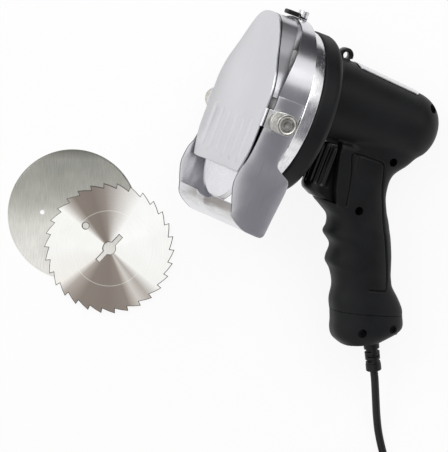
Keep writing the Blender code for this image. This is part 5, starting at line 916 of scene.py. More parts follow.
# Housing: two shells moulded in glass-filled nylon, screwed together along the middle. The barrel
# takes the motor and the handle the switch. A spark-eroded mould gives the outer faces their fine
# even grain; a shallow line marks off the flat panel on each side of the grip.
MOTOR_RISE = 0.020
BARREL_START = 0.0128
BARREL_STRAIGHT = 0.0761
BARREL_DOME = 0.0262
BARREL_FRONT_RADIUS = 0.0325
BARREL_REAR_RADIUS = 0.0268
BARREL_FLARE = 0.0035
BARREL_FLARE_LENGTH = 0.0075
BARREL_FRONT_WALL = 0.004
BARREL_MOUTH = 0.018
DOME_POWER = 2.3
HANDLE_REACH = 0.148
HANDLE_DROP = 0.1512
HANDLE_HALF_WIDTH = 0.0205
HANDLE_POWER = 2.5
HANDLE_SHARES = (
    (0.304, -0.053, 0.743, -0.053, 0.88), (0.304, 0.053, 0.706, 0.040, 0.90),
    (0.311, 0.132, 0.637, 0.126, 0.88), (0.318, 0.225, 0.639, 0.223, 0.88),
    (0.311, 0.304, 0.676, 0.304, 0.88), (0.278, 0.350, 0.704, 0.344, 0.88),
    (0.338, 0.387, 0.728, 0.387, 0.89), (0.390, 0.417, 0.748, 0.423, 0.91),
    (0.407, 0.463, 0.766, 0.460, 0.92), (0.405, 0.505, 0.786, 0.503, 0.93),
    (0.463, 0.549, 0.800, 0.542, 0.93), (0.466, 0.608, 0.820, 0.595, 0.93),
    (0.474, 0.638, 0.834, 0.622, 0.93), (0.513, 0.671, 0.850, 0.648, 0.92),
    (0.552, 0.734, 0.899, 0.688, 0.93), (0.566, 0.807, 0.942, 0.731, 0.97),
    (0.591, 0.856, 0.956, 0.761, 1.0))
SHELL_WALL = 0.0028
SHELL_SCREWS = ((0.689, -0.258), (0.580, 0.062), (0.495, 0.348))
BOSS_RADIUS = 0.0042
CRADLE_BACK = 0.07559
TRIGGER_BACK = 0.058993
TRIGGER_TOP = 0.012005
TRIGGER_BOTTOM = 0.053495
FRAME_SIDE = ((-0.0408, -0.0085), (-0.0425, -0.0180), (-0.0489, -0.0416), (-0.0552, -0.0548),
              (-0.0640, -0.0548), (-0.0610, -0.0400), (-0.0560, -0.0085))
FRAME_HALF = 0.0178
PANEL_LINES = (
    ((-0.0622, -0.0522), (-0.0600, -0.0400), (-0.0560, -0.0250), (-0.0524, -0.0140), (-0.0600, -0.0125),
     (-0.0700, -0.0124), (-0.0785, -0.0131), (-0.0825, -0.0210), (-0.0862, -0.0314), (-0.0925, -0.0450),
     (-0.0984, -0.0579), (-0.1040, -0.0690), (-0.1092, -0.0799), (-0.1145, -0.0915), (-0.1168, -0.0990), (-0.1171, -0.1018), (-0.1140, -0.1032),
     (-0.1037, -0.1060)),)
PANEL_LINE_HALF = 0.0008
PANEL_LINE_DEPTH = 0.0009
VOXEL = 0.0009
FILLET_ROUNDS = 70


def barrel_radius(back):
    if back > BARREL_START + BARREL_STRAIGHT:
        share = min((back - BARREL_START - BARREL_STRAIGHT) / BARREL_DOME, 1)
        return BARREL_REAR_RADIUS * (1 - share ** DOME_POWER) ** (1 / DOME_POWER)
    share = (back - BARREL_START) / BARREL_STRAIGHT
    flare = min(max(1 - (back - BARREL_START) / BARREL_FLARE_LENGTH, 0), 1)
    return BARREL_FRONT_RADIUS + (BARREL_REAR_RADIUS - BARREL_FRONT_RADIUS) * share + BARREL_FLARE * flare ** 2


def barrel_form(inset, front):
    straight_end = BARREL_START + BARREL_STRAIGHT
    backs = [front + (straight_end - front) * step / 24 for step in range(25)]
    profile = [(-front, 0)] + [(-back, barrel_radius(back) - inset) for back in backs]
    for step in range(1, 21):
        angle = math.radians(90) * step / 20
        profile.append((-straight_end - (BARREL_DOME - inset) * math.sin(angle) ** (2 / DOME_POWER),
                        (BARREL_REAR_RADIUS - inset) * max(math.cos(angle), 0) ** (2 / DOME_POWER)))
    return turned(profile[:-1] + [(profile[-1][0], 0)], 96, (0, MOTOR_RISE))


def handle_ring(shares, inset=0.0, sides=64):
    """One rounded section of the handle or its cap, across from its front to its rear point."""
    front = Vector((-HANDLE_REACH * shares[0], 0, -HANDLE_DROP * shares[1]))
    rear = Vector((-HANDLE_REACH * shares[2], 0, -HANDLE_DROP * shares[3]))
    half = (front - rear) / 2
    half = half * (1 - inset / half.length)
    width = HANDLE_HALF_WIDTH * shares[4] - inset
    ring = []
    for side in range(sides):
        angle = 2 * math.pi * (side + 0.5) / sides
        ahead = math.copysign(abs(math.cos(angle)) ** (2 / HANDLE_POWER), math.cos(angle))
        across = math.copysign(abs(math.sin(angle)) ** (2 / HANDLE_POWER), math.sin(angle))
        ring.append((front + rear) / 2 + half * ahead + Vector((0, width * across, 0)))
    return ring


def handle_rings(table, inset, steps, start_out=0.0, end_out=0.0):
    """Rings skinned over by the handle or cap, each end drawn out beyond it by a length."""
    rings = [handle_ring(shares, inset) for shares in smooth_row([Vector(row) for row in table], steps)]
    for place, neighbour, out in ((0, 1, start_out), (-1, -2, end_out)):
        if out:
            heading = sum(rings[place], Vector()) - sum(rings[neighbour], Vector())
            rings.insert(0 if place == 0 else len(rings),
                         [point + heading.normalized() * out for point in rings[place]])
    return rings


def settled(item, *spares):
    """The form of an object with its modifiers carried out; the objects themselves go."""
    evaluated = item.evaluated_get(bpy.context.evaluated_depsgraph_get())
    form = bmesh.new()
    form.from_mesh(evaluated.to_mesh())
    evaluated.to_mesh_clear()
    for thing in (item, *spares):
        mesh = thing.data
        bpy.data.objects.remove(thing)
        bpy.data.meshes.remove(mesh)
    return form


def as_item(form):
    bmesh.ops.recalc_face_normals(form, faces=form.faces)
    mesh = bpy.data.meshes.new("form")
    form.to_mesh(mesh)
    form.free()
    item = bpy.data.objects.new("form", mesh)
    bpy.context.scene.collection.objects.link(item)
    return item


def combined(form, others, operation):
    """A form with others joined to it or cut out of it, one after another."""
    item = as_item(form)
    spares = [as_item(other) for other in others]
    for spare in spares:
        step = item.modifiers.new("step", "BOOLEAN")
        step.operation = operation
        step.solver = "EXACT"
        step.object = spare
    return settled(item, *spares)


def reskinned(form, voxel, rounds):
    """A form skinned anew with even little faces and its hard edges eased by some rounds."""
    item = as_item(form)
    skin = item.modifiers.new("skin", "REMESH")
    skin.mode = "VOXEL"
    skin.voxel_size = voxel
    ease = item.modifiers.new("ease", "SMOOTH")
    ease.factor = 0.5
    ease.iterations = rounds
    return settled(item)


def eased(form, weight_of, rounds):
    """Ease a form more where a weight says so, as a fillet between two moulded shapes is."""
    form.verts.ensure_lookup_table()
    form.verts.index_update()
    places = np.array([vertex.co for vertex in form.verts])
    weights = np.array([weight_of(vertex.co) for vertex in form.verts])[:, None] * 0.5
    pairs = np.array([[vertex.index for vertex in side.verts] for side in form.edges])
    counts = np.bincount(pairs.ravel(), minlength=len(places))[:, None]
    for _ in range(rounds):
        total = np.zeros_like(places)
        for axis in range(3):
            total[:, axis] = (np.bincount(pairs[:, 0], places[pairs[:, 1], axis], len(places))
                              + np.bincount(pairs[:, 1], places[pairs[:, 0], axis], len(places)))
        places += (total / counts - places) * weights
    for vertex, place in zip(form.verts, places):
        vertex.co = place


def root_weight(place):
    """How much the meeting of barrel and handle is filleted at a place: none far from it."""
    off = math.hypot(place.y, place.z - MOTOR_RISE) - barrel_radius(-place.x)
    near = min(max(1 - abs(off - 0.001) / 0.009, 0), 1)
    below = min(max((0.004 - place.z) / 0.006, 0), 1)
    along = min(max((-0.036 - place.x) / 0.008, 0), 1)
    return near * below * along


def rod(radius, low, high, across, centre, sides=48):
    """A plain round rod along one axis, from low to high, used to cut or to add."""
    return slab(ring_outline(radius, centre, sides), low, high, across, 0)


outer = grid_form(handle_rings(HANDLE_SHARES, 0, 5, 0, 0.004), wrap=True)
outer = combined(outer, [barrel_form(0, BARREL_START - 0.003),
                         slab(rounded(FRAME_SIDE, 0.002, True), -FRAME_HALF, FRAME_HALF, "y", 0.0008)], "UNION")
outer = reskinned(outer, VOXEL, 3)
eased(outer, root_weight, FILLET_ROUNDS)
hollow = grid_form(handle_rings(HANDLE_SHARES, SHELL_WALL, 2, 0, 0.006), wrap=True)
hollow = combined(hollow, [barrel_form(SHELL_WALL, BARREL_START + BARREL_FRONT_WALL)], "UNION")
kept = []
shell_screws = [(-HANDLE_REACH * reach, -HANDLE_DROP * drop) for reach, drop in SHELL_SCREWS]
for place in shell_screws:
    kept.append(rod(BOSS_RADIUS, -0.05, 0.05, "y", place, 32))
for side in (1, -1):
    low, high = sorted((side * 0.0093, side * 0.05))
    kept.append(slab(((-CRADLE_BACK - 0.004, -0.038), (-CRADLE_BACK + 0.004, -0.038),
                      (-CRADLE_BACK + 0.004, -0.028), (-CRADLE_BACK - 0.004, -0.028)), low, high, "y", 0))
hollow = combined(hollow, kept, "DIFFERENCE")
foot = handle_ring(HANDLE_SHARES[-1])
foot_line = (foot[0] - foot[len(foot) // 2]).normalized()
foot_down = Vector((-foot_line.z, 0, foot_line.x))
if foot_down.z > 0:
    foot_down = -foot_down
foot_middle = sum(foot, Vector()) / len(foot)
foot_corners = [foot_middle + foot_line * ahead + foot_down * down
                for ahead, down in ((0.06, 0), (-0.06, 0), (-0.06, 0.02), (0.06, 0.02))]
trigger_gap = rounded(((-TRIGGER_BACK, -TRIGGER_BOTTOM - 0.0003), (-TRIGGER_BACK, -TRIGGER_TOP + 0.00005),
                       (-0.0200, -TRIGGER_TOP + 0.00005), (-0.0200, -TRIGGER_BOTTOM - 0.0003)), 0.0012, True)
finger_side = ((-0.0200, -0.0117), (-0.0410, -0.0117), (-0.0425, -0.0180), (-0.0489, -0.0416),
               (-0.0545, -0.0538), (-0.0200, -0.0538))
case_holes = [rod(0.0018, -0.020, -0.010, "x", (0.0235 * math.cos(math.radians(turn)),
                                                MOTOR_RISE + 0.0235 * math.sin(math.radians(turn))), 24)
              for turn in (20, 160)]
eye_slot = slab(((-0.0298, 0.045), (-0.0298, 0.060), (-0.0212, 0.060), (-0.0212, 0.045)), -0.0038, 0.0038, "y", 0)
body_cuts = [hollow, slab([(point.x, point.z) for point in foot_corners], -0.04, 0.04, "y", 0),
             rod(0.06, -BARREL_START, 0.01, "x", (0, MOTOR_RISE)),
             rod(BARREL_MOUTH, -0.020, -0.010, "x", (0, MOTOR_RISE), 64),
             slab(trigger_gap, -0.0113, 0.0113, "y", 0), slab(finger_side, -0.04, 0.04, "y", 0),
             eye_slot] + case_holes
for place in shell_screws:
    body_cuts.append(rod(0.0018, -0.009, 0.0085, "y", place, 24))
    body_cuts.append(rod(0.0033, 0.008, 0.05, "y", place))
whole = combined(outer, body_cuts, "DIFFERENCE")
front_lip = slab(((-0.0300, -0.0090), (-0.0300, -0.0118), (-0.0412, -0.0118), (-0.0412, -0.0090)),
                 -0.0108, 0.0108, "y", 0)
whole = combined(whole, [front_lip], "UNION")
# The floor of each panel line is painted near black: painted shade in the groove.
groove_painted_shade = moulded_black("nylon_groove_painted_shade", "#050505", 0.6, 0.08, CASE_GRAIN_MM, 0.00008)
panel_points = [smooth_row([Vector(point) for point in line], 6) for line in PANEL_LINES]


def line_distance(place, line):
    """Distance of a place, seen from the side, to a row of points."""
    return min((Vector((place.x, place.z)) - near - (far - near) * min(max(
        (Vector((place.x, place.z)) - near).dot(far - near) / (far - near).length_squared, 0), 1)).length
        for near, far in zip(line, line[1:]))


for side, name in ((1, "left"), (-1, "right")):
    shell = whole.copy()
    bmesh.ops.bisect_plane(shell, geom=shell.verts[:] + shell.edges[:] + shell.faces[:], dist=0.000001,
                           plane_co=(0, side * 0.00015, 0), plane_no=(0, -side, 0), clear_outer=True)
    rim = [line for line in shell.edges if len(line.link_faces) == 1]
    bmesh.ops.triangle_fill(shell, edges=rim, use_beauty=True)
    shell.normal_update()
    near = [face for face in shell.faces if abs(face.normal.y) > 0.3 and abs(face.calc_center_median().y) > 0.010
            and any(line_distance(face.calc_center_median(), line) < 0.0016 for line in panel_points)]
    cut_edges = list({line for face in near for line in face.edges})
    bmesh.ops.subdivide_edges(shell, edges=cut_edges, cuts=2, use_grid_fill=True)
    painted_shade_bottoms = set()
    for vertex in shell.verts:
        if side * vertex.co.y > 0.010 and vertex.normal.y * side > 0.3 and -0.109 < vertex.co.z < -0.010:
            off = min(line_distance(vertex.co, line) for line in panel_points)
            if off < PANEL_LINE_HALF * 2:
                vertex.co -= vertex.normal * PANEL_LINE_DEPTH * math.cos(off / PANEL_LINE_HALF * math.pi / 4) ** 2
            if off < PANEL_LINE_HALF * 0.8:
                painted_shade_bottoms.add(vertex)
    # Faces at the groove's floor take the painted shade.
    for face in {face for vertex in painted_shade_bottoms for face in vertex.link_faces}:
        if painted_shade_bottoms.issuperset(face.verts):
            face.material_index = 1
    housing = add_piece("housing_shell_" + name, shell, nylon, "slicer_body",
                        ("housing_" + name,))
    housing.data.materials.append(groove_painted_shade)
whole.free()


# Housing and cap screws: hardened steel, phosphate blackened, with a cross recess. They sink into
# the left shell and show as dark round dots.
HEAD_RADIUS = 0.003
CROSS_LENGTH = 0.0034
CROSS_WIDTH = 0.0009
CAP_SCREWS = ((0.745, 0.915), (0.900, 0.845))


def turned_metal(name, colours, roughness, ring_mm, wear_mm, depth=0.00005):
    """Metal turned about its own axis or blackened: fine rings with wear between them."""
    material, tree, shader = new_material(name)
    shader.inputs["Metallic"].default_value = 1.0
    place = add_node(tree, "TexCoord")
    rings = add_node(tree, "TexNoise", {"Scale": 1000 / ring_mm, "Detail": 3.0}, {"Vector": place.outputs["Object"]})
    wear = add_node(tree, "TexNoise", {"Scale": 1000 / wear_mm, "Detail": 4.0, "Roughness": 0.65},
                    {"Vector": place.outputs["Object"]})
    both = add_node(tree, "Mix", {"data_type": "FLOAT", "Factor": 0.6},
                    {2: rings.outputs["Fac"], 3: wear.outputs["Fac"]})
    tint = add_node(tree, "ValToRGB", None, {"Fac": both.outputs[0]})
    tint.color_ramp.elements[0].position = 0.34
    tint.color_ramp.elements[0].color = linear(colours[0])
    tint.color_ramp.elements[1].position = 0.66
    tint.color_ramp.elements[1].color = linear(colours[1])
    polish = add_node(tree, "MapRange", {"From Min": 0.3, "From Max": 0.7, "To Min": roughness - 0.06,
                                         "To Max": roughness + 0.12}, {"Value": both.outputs[0]})
    bump = add_node(tree, "Bump", {"Strength": 0.5, "Distance": depth}, {"Height": rings.outputs["Fac"]})
    tree.links.new(tint.outputs["Color"], shader.inputs["Base Color"])
    tree.links.new(polish.outputs["Result"], shader.inputs["Roughness"])
    tree.links.new(bump.outputs["Normal"], shader.inputs["Normal"])
    return material


def cross_head(low, seat, high, shank, radius):
    """A screw along the forward axis with a cross recess in its domed head."""
    form = turned(rounded(((low, 0), (low, shank * 0.5), (low + shank * 0.6, shank), (seat, shank),
                           (seat, radius), (high - 0.0002, radius), (high, 0)), 0.0004), 48)
    half, thin = CROSS_LENGTH / 2 * radius / HEAD_RADIUS, CROSS_WIDTH / 2 * radius / HEAD_RADIUS
    plus = [(half, -thin), (half, thin), (thin, thin), (thin, half), (-thin, half), (-thin, thin), (-half, thin),
            (-half, -thin), (-thin, -thin), (-thin, -half), (thin, -half), (thin, -thin)]
    return combined(form, [slab(plus, high - 0.0009, high + 0.001, "x", 0)], "DIFFERENCE")


black_steel = turned_metal("blackened_steel", ("#0B0B0C", "#242426"), 0.42, 0.5, 1.5)
SIDEWAYS = Matrix.Rotation(math.pi / 2, 4, "Z")
for count, place in enumerate(shell_screws, 1):
    add_piece("housing_cross_screw_%d" % count, cross_head(-0.0087, 0.0083, 0.0105, 0.0015, HEAD_RADIUS), black_steel,
              "slicer_body", ("housing_screw_%d" % count,),
              SLICER @ Matrix.Translation((place[0], 0, place[1])) @ SIDEWAYS)
cap_screws = [(-HANDLE_REACH * reach, -HANDLE_DROP * drop) for reach, drop in CAP_SCREWS]
for count, place in enumerate(cap_screws, 1):
    add_piece("cap_cross_screw_%d" % count, cross_head(0.0073, 0.018, 0.0191, 0.0015, HEAD_RADIUS), black_steel,
              "slicer_body", ("cap_screw_%d" % count,),
              SLICER @ Matrix.Translation((place[0], 0, place[1])) @ SIDEWAYS)


# Trigger: a glossier black moulding that slides back in the housing. Its face is rounded from
# side to side and carries long finger ribs; a toe at its foot turns forward.
TRIGGER_DEPTH = 0.030
TRIGGER_HALF_WIDTH = 0.0110
TRIGGER_RIBS = 11
TRIGGER_RIB_HEIGHT = 0.0008
TRIGGER_FACE_SHARES = ((0.985, 0.0), (0.99, 0.15), (1.0, 0.45), (1.0, 0.72),
                       (1.0, 0.82), (0.98, 0.87), (0.93, 0.92), (0.82, 0.96), (0.70, 1.0))
TRIGGER_SHOULDER = 0.0170
TRIGGER_EDGE = 0.0002
TRIGGER_ROUND = 2.6

tall = TRIGGER_BOTTOM - TRIGGER_TOP
rows = []
for ahead, down in smooth_row([Vector(point) for point in TRIGGER_FACE_SHARES], 6):
    from_end = min(down, 1 - down) * tall
    inset = TRIGGER_EDGE - math.sqrt(max(TRIGGER_EDGE ** 2 - max(TRIGGER_EDGE - from_end, 0) ** 2, 0))
    ribbed = min(max(min((down - 0.04) * 20, (0.80 - down) * 16), 0), 1)
    reach = TRIGGER_DEPTH * ahead - inset
    row = [(0.0002 + inset * 0.5, -TRIGGER_HALF_WIDTH + inset + 0.0006, -tall * down)]
    for column in range(97):
        turn = math.pi * (column / 96 - 0.5)
        across = math.copysign(abs(math.sin(turn)) ** (2 / TRIGGER_ROUND), turn)
        back = abs(math.cos(turn)) ** (2 / TRIGGER_ROUND)
        wave = 0.5 - 0.5 * math.cos(2 * math.pi * column / 96 * TRIGGER_RIBS)
        lift = TRIGGER_RIB_HEIGHT * (wave ** 1.5 - 1) * ribbed
        row.append((reach - TRIGGER_SHOULDER * (1 - back) + lift * math.cos(turn),
                    (TRIGGER_HALF_WIDTH - inset + lift * abs(math.sin(turn))) * across, -tall * down))
    row.append((0.0002 + inset * 0.5, TRIGGER_HALF_WIDTH - inset - 0.0006, -tall * down))
    rows.append(row)
trigger_form = grid_form(rows, wrap=True)
trigger_form = combined(trigger_form, [rod(0.00435, -0.001, 0.010, "x", (0, -tall / 2))], "DIFFERENCE")
gloss_black = moulded_black("gloss_moulded_black", "#0B0B0C", 0.27, 0.30, 1.4, 0.00003)
trigger_axis = SLICER @ Matrix.Translation((-TRIGGER_BACK, 0, -TRIGGER_TOP))
add_piece("trigger_ribbed", trigger_form, gloss_black, "trigger_body", ("trigger",), trigger_axis)


# Handle cap: a cup of the same nylon below the handle, held by two screws from the left, with
# the strain relief's mouth in its foot.
CAP_SHARES = ((0.593, 0.858, 0.957, 0.763, 1.0), (0.614, 0.905, 0.980, 0.815, 1.02),
              (0.630, 0.950, 0.966, 0.852, 1.0), (0.658, 0.984, 0.932, 0.888, 0.92),
              (0.716, 1.004, 0.888, 0.930, 0.76))
RELIEF_PLACE = (-0.12802, 0, -0.14364)
RELIEF_TURN = 118

relief_axis = Matrix.Translation(RELIEF_PLACE) @ Matrix.Rotation(math.radians(RELIEF_TURN), 4, "Y")
cap_outer = reskinned(grid_form(handle_rings(CAP_SHARES, 0, 6, 0.004), wrap=True), 0.0008, 5)
cap_hollow = grid_form(handle_rings(CAP_SHARES[:-1], SHELL_WALL, 3, 0.006), wrap=True)
relief_bore = rod(0.0063, -0.0215, 0.0215, "x", (0, 0), 64)
relief_bore.transform(relief_axis)
brow = handle_ring(CAP_SHARES[0])
brow_middle = sum(brow, Vector()) / len(brow)
brow_line = (brow[0] - brow[len(brow) // 2]).normalized()
brow_up = Vector((-brow_line.z, 0, brow_line.x))
if brow_up.z < 0:
    brow_up = -brow_up
brow_corners = [brow_middle + brow_line * ahead + brow_up * rise
                for ahead, rise in ((0.06, 0), (-0.06, 0), (-0.06, 0.02), (0.06, 0.02))]
cap_cuts = [slab([(point.x, point.z) for point in brow_corners], -0.04, 0.04, "y", 0), cap_hollow, relief_bore]
for place in cap_screws:
    cap_cuts.append(rod(0.0018, 0.001, 0.0200, "y", place, 24))
    cap_cuts.append(rod(0.0033, 0.0177, 0.03, "y", place))
add_piece("handle_cap_moulding", combined(cap_outer, cap_cuts, "DIFFERENCE"), nylon, "slicer_body",
          ("handle_cap",))


# Strain relief: a soft rubber sleeve moulded on the cord. Rings cut halfway round, turned a
# quarter from one to the next, let it bend; a thicker collar closes it.
RELIEF_INSIDE = 0.0077
RELIEF_LENGTH = 0.0215
RELIEF_SLOTS = ((0.0040, 0.0062), (0.0084, 0.0102), (0.0124, 0.0138))

relief_rows = []
for step in range(121):
    along = -RELIEF_INSIDE + (RELIEF_INSIDE + RELIEF_LENGTH) * step / 120
    taper = 0.0060 - 0.0006 * max(along, 0) / RELIEF_LENGTH
    if along < -RELIEF_INSIDE + 0.0015:
        taper = 0.0075
    if along > 0.0155:
        taper = 0.0059 - 0.0012 * max((along - 0.0205) / 0.0010, 0) ** 2
    row = []
    for side in range(72):
        angle = 2 * math.pi * side / 72
        deep = 0.0
        for count, (low, high) in enumerate(RELIEF_SLOTS):
            edge = min(max(min(along - low, high - along) / 0.0004, 0), 1)
            bridge = min(max((abs(math.sin(angle + math.pi / 2 * count)) - 0.32) * 5, 0), 1)
            deep = max(deep, edge * bridge * 0.0013)
        radius = taper - deep
        row.append((along, radius * math.cos(angle), radius * math.sin(angle)))
    relief_rows.append(row)
relief_form = grid_form(relief_rows, wrap=True)
soft_rubber = moulded_black("soft_rubber", "#0D0D0E", 0.46, 0.26, 1.0, 0.00005)
add_piece("strain_relief_sleeve", relief_form, soft_rubber, "slicer_body", ("strain_relief",),
          SLICER @ relief_axis, 50)


# Label plate: bare anodised aluminium foil of 0.7 mm with rounded corners, glued on top of the
# barrel. It is blank.
LABEL_START = 0.0350
LABEL_END = 0.0890
LABEL_HALF_ANGLE = 24
LABEL_THICKNESS = 0.0007
LABEL_CORNER = 0.003

label_rows = []
for step in range(49):
    share = step / 48
    back = LABEL_START + (LABEL_END - LABEL_START) * (3 * share ** 2 - 2 * share ** 3)
    in_corner = max(LABEL_CORNER - min(back - LABEL_START, LABEL_END - back), 0)
    narrow = LABEL_CORNER - math.sqrt(max(LABEL_CORNER ** 2 - in_corner ** 2, 0))
    edge = max(0.0002 - min(back - LABEL_START, LABEL_END - back), 0)
    row = []
    for side, rise in ([(s, LABEL_THICKNESS) for s in range(-16, 17)] + [(s, 0) for s in range(16, -17, -1)]):
        radius = barrel_radius(back) + 0.0003 + (rise - edge if rise else 0)
        half = math.radians(LABEL_HALF_ANGLE) - narrow / radius - (0.0002 / radius if rise else 0)
        angle = math.pi / 2 - half * side / 16
        row.append((-back, radius * math.cos(angle), MOTOR_RISE + radius * math.sin(angle)))
    label_rows.append(row)
pale_foil = brushed_steel("anodised_foil", ("#D9D9DB", "#EDEDEE"), 0.34, 1, 0.5, 18.0, 0.00001, 0.08, 16.0)
add_piece("label_plate_blank", grid_form(label_rows, wrap=True), pale_foil, "slicer_body",
          ("label_plate",))


# Hanging eye: a small glossy black lug whose root is trapped between the two shells.
EYE_BACK = 0.0255
EYE_HEIGHT = 0.0535
EYE_RADIUS = 0.0056
EYE_HOLE = 0.0026
EYE_HALF_WIDTH = 0.0035

eye_top = MOTOR_RISE + barrel_radius(EYE_BACK)
eye_centre = (-EYE_BACK, eye_top + 0.0022)
eye_outline = [(-EYE_BACK + 0.0040, eye_top - 0.0030), (-EYE_BACK + 0.0040, eye_top + 0.0006)]
eye_outline += [(eye_centre[0] + EYE_RADIUS * math.cos(angle), eye_centre[1] + EYE_RADIUS * math.sin(angle))
                for angle in (math.radians(-14 + 208 * step / 36) for step in range(37))]
eye_outline += [(-EYE_BACK - 0.0040, eye_top + 0.0006), (-EYE_BACK - 0.0040, eye_top - 0.0030)]
eye_form = cut_sheet([eye_outline, ring_outline(EYE_HOLE, eye_centre, 40)], EYE_HALF_WIDTH * 2, 0.0007)
eye_form.transform(Matrix(((1, 0, 0, 0), (0, 0, 1, -EYE_HALF_WIDTH), (0, 1, 0, 0), (0, 0, 0, 1))))
add_piece("hanging_eye_lug", eye_form, gloss_black, "slicer_body", ("hanging_eye",))


# Buffer on top of the guard: a small rubber block whose tongue is held under a bright screw.
BUFFER_START = 0.0222
BUFFER_END = 0.0312
BUFFER_HALF = 0.005
BUFFER_SEAT = 0.0673
BUFFER_THICKNESS = 0.0034
TOP_SCREW_PLACE = 0.0175
TOP_SCREW_HEAD = 0.004

buffer_side = rounded(((BUFFER_START, BUFFER_SEAT), (BUFFER_END, BUFFER_SEAT),
                       (BUFFER_END, BUFFER_SEAT + BUFFER_THICKNESS),
                       (BUFFER_START, BUFFER_SEAT + BUFFER_THICKNESS)), 0.0012, True)
buffer_block = slab(buffer_side, -BUFFER_HALF, BUFFER_HALF, "y", 0.0007)
tongue = [(BUFFER_START + 0.001, -TOP_SCREW_HEAD)]
tongue += [(TOP_SCREW_PLACE - TOP_SCREW_HEAD * math.sin(angle), -TOP_SCREW_HEAD * math.cos(angle))
           for angle in (math.pi * step / 16 for step in range(17))]
tongue += [(BUFFER_START + 0.001, TOP_SCREW_HEAD)]
tongue_form = cut_sheet([tongue, ring_outline(0.0023, (TOP_SCREW_PLACE, 0), 32)], 0.001, 0.0001)
tongue_form.transform(Matrix.Translation((0, 0, BUFFER_SEAT)))
add_piece("buffer_block", merged(buffer_block, tongue_form), soft_rubber, "slicer_body",
          ("rubber_buffer",))
bright = turned_metal("bright_turned_steel", ("#B9B9BB", "#ECECEE"), 0.22, 0.6, 4.0)
add_piece("top_cross_screw", cross_head(-0.006, 0, 0.005, 0.002, TOP_SCREW_HEAD), bright, "slicer_body",
          ("top_screw",), SLICER @ Matrix.Translation((TOP_SCREW_PLACE, 0, BUFFER_SEAT + 0.0013))
          @ Matrix.Rotation(-math.pi / 2, 4, "Y"))


# Plug: two-pin flat body moulded in soft black vinyl on the cord, its boot cut with rings and
# its sides fluted for the fingers; the pins are nickel-plated brass, sleeved at their roots.
PLUG_AT = (0.1426012, -0.2602414, 0.0108)
PLUG_HEADING = (0.2923717, -0.9563048)
BOOT_LENGTH = 0.014
PLUG_LENGTH = 0.032
PLUG_WIDTH = 0.036
PLUG_SECTIONS = (
    (0.0003, 0.0078, 0.0039), (0.0012, 0.0082, 0.0041), (0.0090, 0.0094, 0.0047), (0.0140, 0.0104, 0.0052),
    (0.0155, 0.0150, 0.0078), (0.0170, 0.0180, 0.0092), (0.0200, 0.0225, 0.0100), (0.0236, 0.0288, 0.0106),
    (0.0290, 0.0335, 0.0108), (0.0340, 0.0356, 0.0108), (0.0400, 0.0360, 0.0108), (0.0446, 0.0360, 0.0107),
    (0.0456, 0.0346, 0.0102), (0.0460, 0.0325, 0.0096))
PIN_SPACING = 0.019
PIN_RADIUS = 0.0024
PIN_LENGTH = 0.019

plug_rings = []
for along, width, high in smooth_row([Vector(row) for row in PLUG_SECTIONS], 4):
    ringed = 0.0006 * max(0, math.cos(2 * math.pi * (along - 0.0025) / 0.0036)) if 0.0018 < along < 0.0125 else 0
    ring = []
    for side in range(64):
        angle = 2 * math.pi * (side + 0.5) / 64
        across = math.copysign(abs(math.cos(angle)) ** (2 / 3), math.cos(angle))
        rise = math.copysign(abs(math.sin(angle)) ** (2 / 3), math.sin(angle))
        grip = 0.0005 * abs(across) ** 6 * max(0, math.cos(2 * math.pi * (along - 0.030) / 0.0032))
        grip = grip if 0.0275 < along < 0.0420 else 0
        ring.append((along, across * (width / 2 - ringed - grip), rise * (high - ringed)))
    plug_rings.append(ring)
plug_form = grid_form(plug_rings, wrap=True)
plug_front = BOOT_LENGTH + PLUG_LENGTH
plug_form = combined(plug_form, [rod(PIN_RADIUS + 0.0003, plug_front - 0.0063, plug_front + 0.01, "x",
                                     (side * PIN_SPACING / 2, 0)) for side in (1, -1)], "DIFFERENCE")
plug_axis = Matrix.Translation(PLUG_AT) @ Matrix.Rotation(math.atan2(PLUG_HEADING[1], PLUG_HEADING[0]), 4, "Z")
soft_vinyl = moulded_black("soft_vinyl", "#101011", 0.38, 0.28, 1.2, 0.00004)
plug_piece = add_piece("plug_body_moulding", plug_form, soft_vinyl, "slicer_body", ("plug_body",), plug_axis)
for count, side in ((1, 1), (2, -1)):
    pin_form = turned(rounded(((plug_front - 0.006, 0), (plug_front - 0.006, PIN_RADIUS),
                               (plug_front + PIN_LENGTH - 0.0016, PIN_RADIUS),
                               (plug_front + PIN_LENGTH - 0.0002, PIN_RADIUS * 0.55),
                               (plug_front + PIN_LENGTH, 0)), 0.0008), 48)
    add_piece("plug_pin_turned_%d" % count, pin_form, nickel, "slicer_body",
                                 ("plug_pin_%d" % count,),
                                 plug_axis @ Matrix.Translation((0, side * PIN_SPACING / 2, 0)))


# Cord tie: a flat rubber band with rounded edges, looped once over the coil's turns.
TIE_THICKNESS = 0.001
TIE_HALF_WIDTH = 0.004
TIE_ANGLE = 200

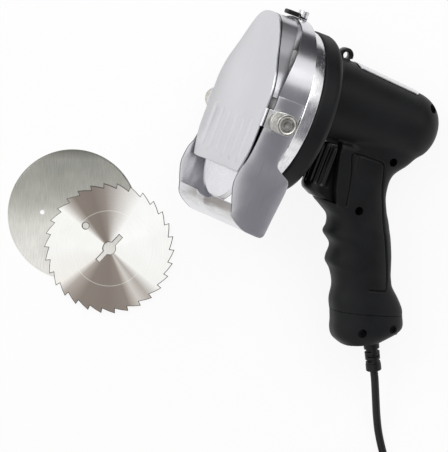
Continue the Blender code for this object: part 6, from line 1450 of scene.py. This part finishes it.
tie_inner = COIL_RADIUS + COIL_PITCH * COIL_TURNS / 2 - COIL_PITCH * COIL_TURNS - CORD_DIAMETER / 2 - 0.0003
tie_outer = COIL_RADIUS + COIL_PITCH * COIL_TURNS / 2 + CORD_DIAMETER / 2 + 0.0003
tie_top = COIL_LOW + COIL_LAYER + CORD_DIAMETER / 2 + 0.0003
outside = rounded(((tie_inner - TIE_THICKNESS, 0), (tie_outer + TIE_THICKNESS, 0),
                   (tie_outer + TIE_THICKNESS, tie_top + TIE_THICKNESS),
                   (tie_inner - TIE_THICKNESS, tie_top + TIE_THICKNESS)), 0.0032, True, 8)
inside = rounded(((tie_inner, TIE_THICKNESS), (tie_outer, TIE_THICKNESS), (tie_outer, tie_top),
                  (tie_inner, tie_top)), 0.0024, True, 8)
tie_form = cut_sheet([outside, inside], TIE_HALF_WIDTH * 2, 0.0002)
tie_form.transform(Matrix(((1, 0, 0, 0), (0, 0, 1, -TIE_HALF_WIDTH), (0, 1, 0, 0), (0, 0, 0, 1))))
tie_piece = add_piece("cord_tie_band", tie_form, soft_rubber, "slicer_body", ("cord_tie",),
                      Matrix.Translation((*COIL_CENTRE, 0)) @ Matrix.Rotation(math.radians(TIE_ANGLE), 4, "Z"))


# Inside pieces keep their CAD shapes. Each takes the finish of its real metal or moulding:
# zinc-plated can, ground spindle and shaft, sintered bushes, greased steel gears, copper
# commutator and windings, carbon brushes and nylon mouldings.
ground = turned_metal("ground_shaft_steel", ("#B4B5B8", "#E2E3E5"), 0.24, 0.4, 3.0)
zinc = turned_metal("zinc_plated_steel", ("#A3A6A8", "#CDCFD1"), 0.34, 1.5, 6.0)
greased = turned_metal("greased_gear_steel", ("#5E5C58", "#96938C"), 0.30, 1.2, 2.5)
bronze = turned_metal("sintered_bronze", ("#7E5F35", "#B48C55"), 0.42, 0.4, 2.0)
copper = turned_metal("enamelled_copper", ("#8A4526", "#C77B4C"), 0.32, 0.8, 2.0)
carbon = moulded_black("pressed_carbon", "#141415", 0.52, 0.35, 0.4, 0.00003)
for material, nodes in (
        (black_steel, ("head_screw_1", "head_screw_2", "head_screw_3", "head_screw_4", "case_screw_1",
                       "case_screw_2")),
        (ground, ("blade_spindle", "motor_shaft", "idler_pin", "motor_bearing_front", "motor_bearing_rear",
                  "trigger_spring", "blade_hub", "blade_nut")),
        (zinc, ("motor_can",)),
        (greased, ("blade_gear", "idler_gear", "motor_pinion")),
        (bronze, ("spindle_bush_front", "spindle_bush_rear")),
        (copper, ("armature", "commutator")),
        (carbon, ("carbon_brush_left", "carbon_brush_right")),
        (gloss_black, ("switch_body",)),
        (nylon, ("cable_clamp", "brush_plate", "cooling_fan"))):
    for node in nodes:
        bpy.data.objects[node].material_slots[0].material = material
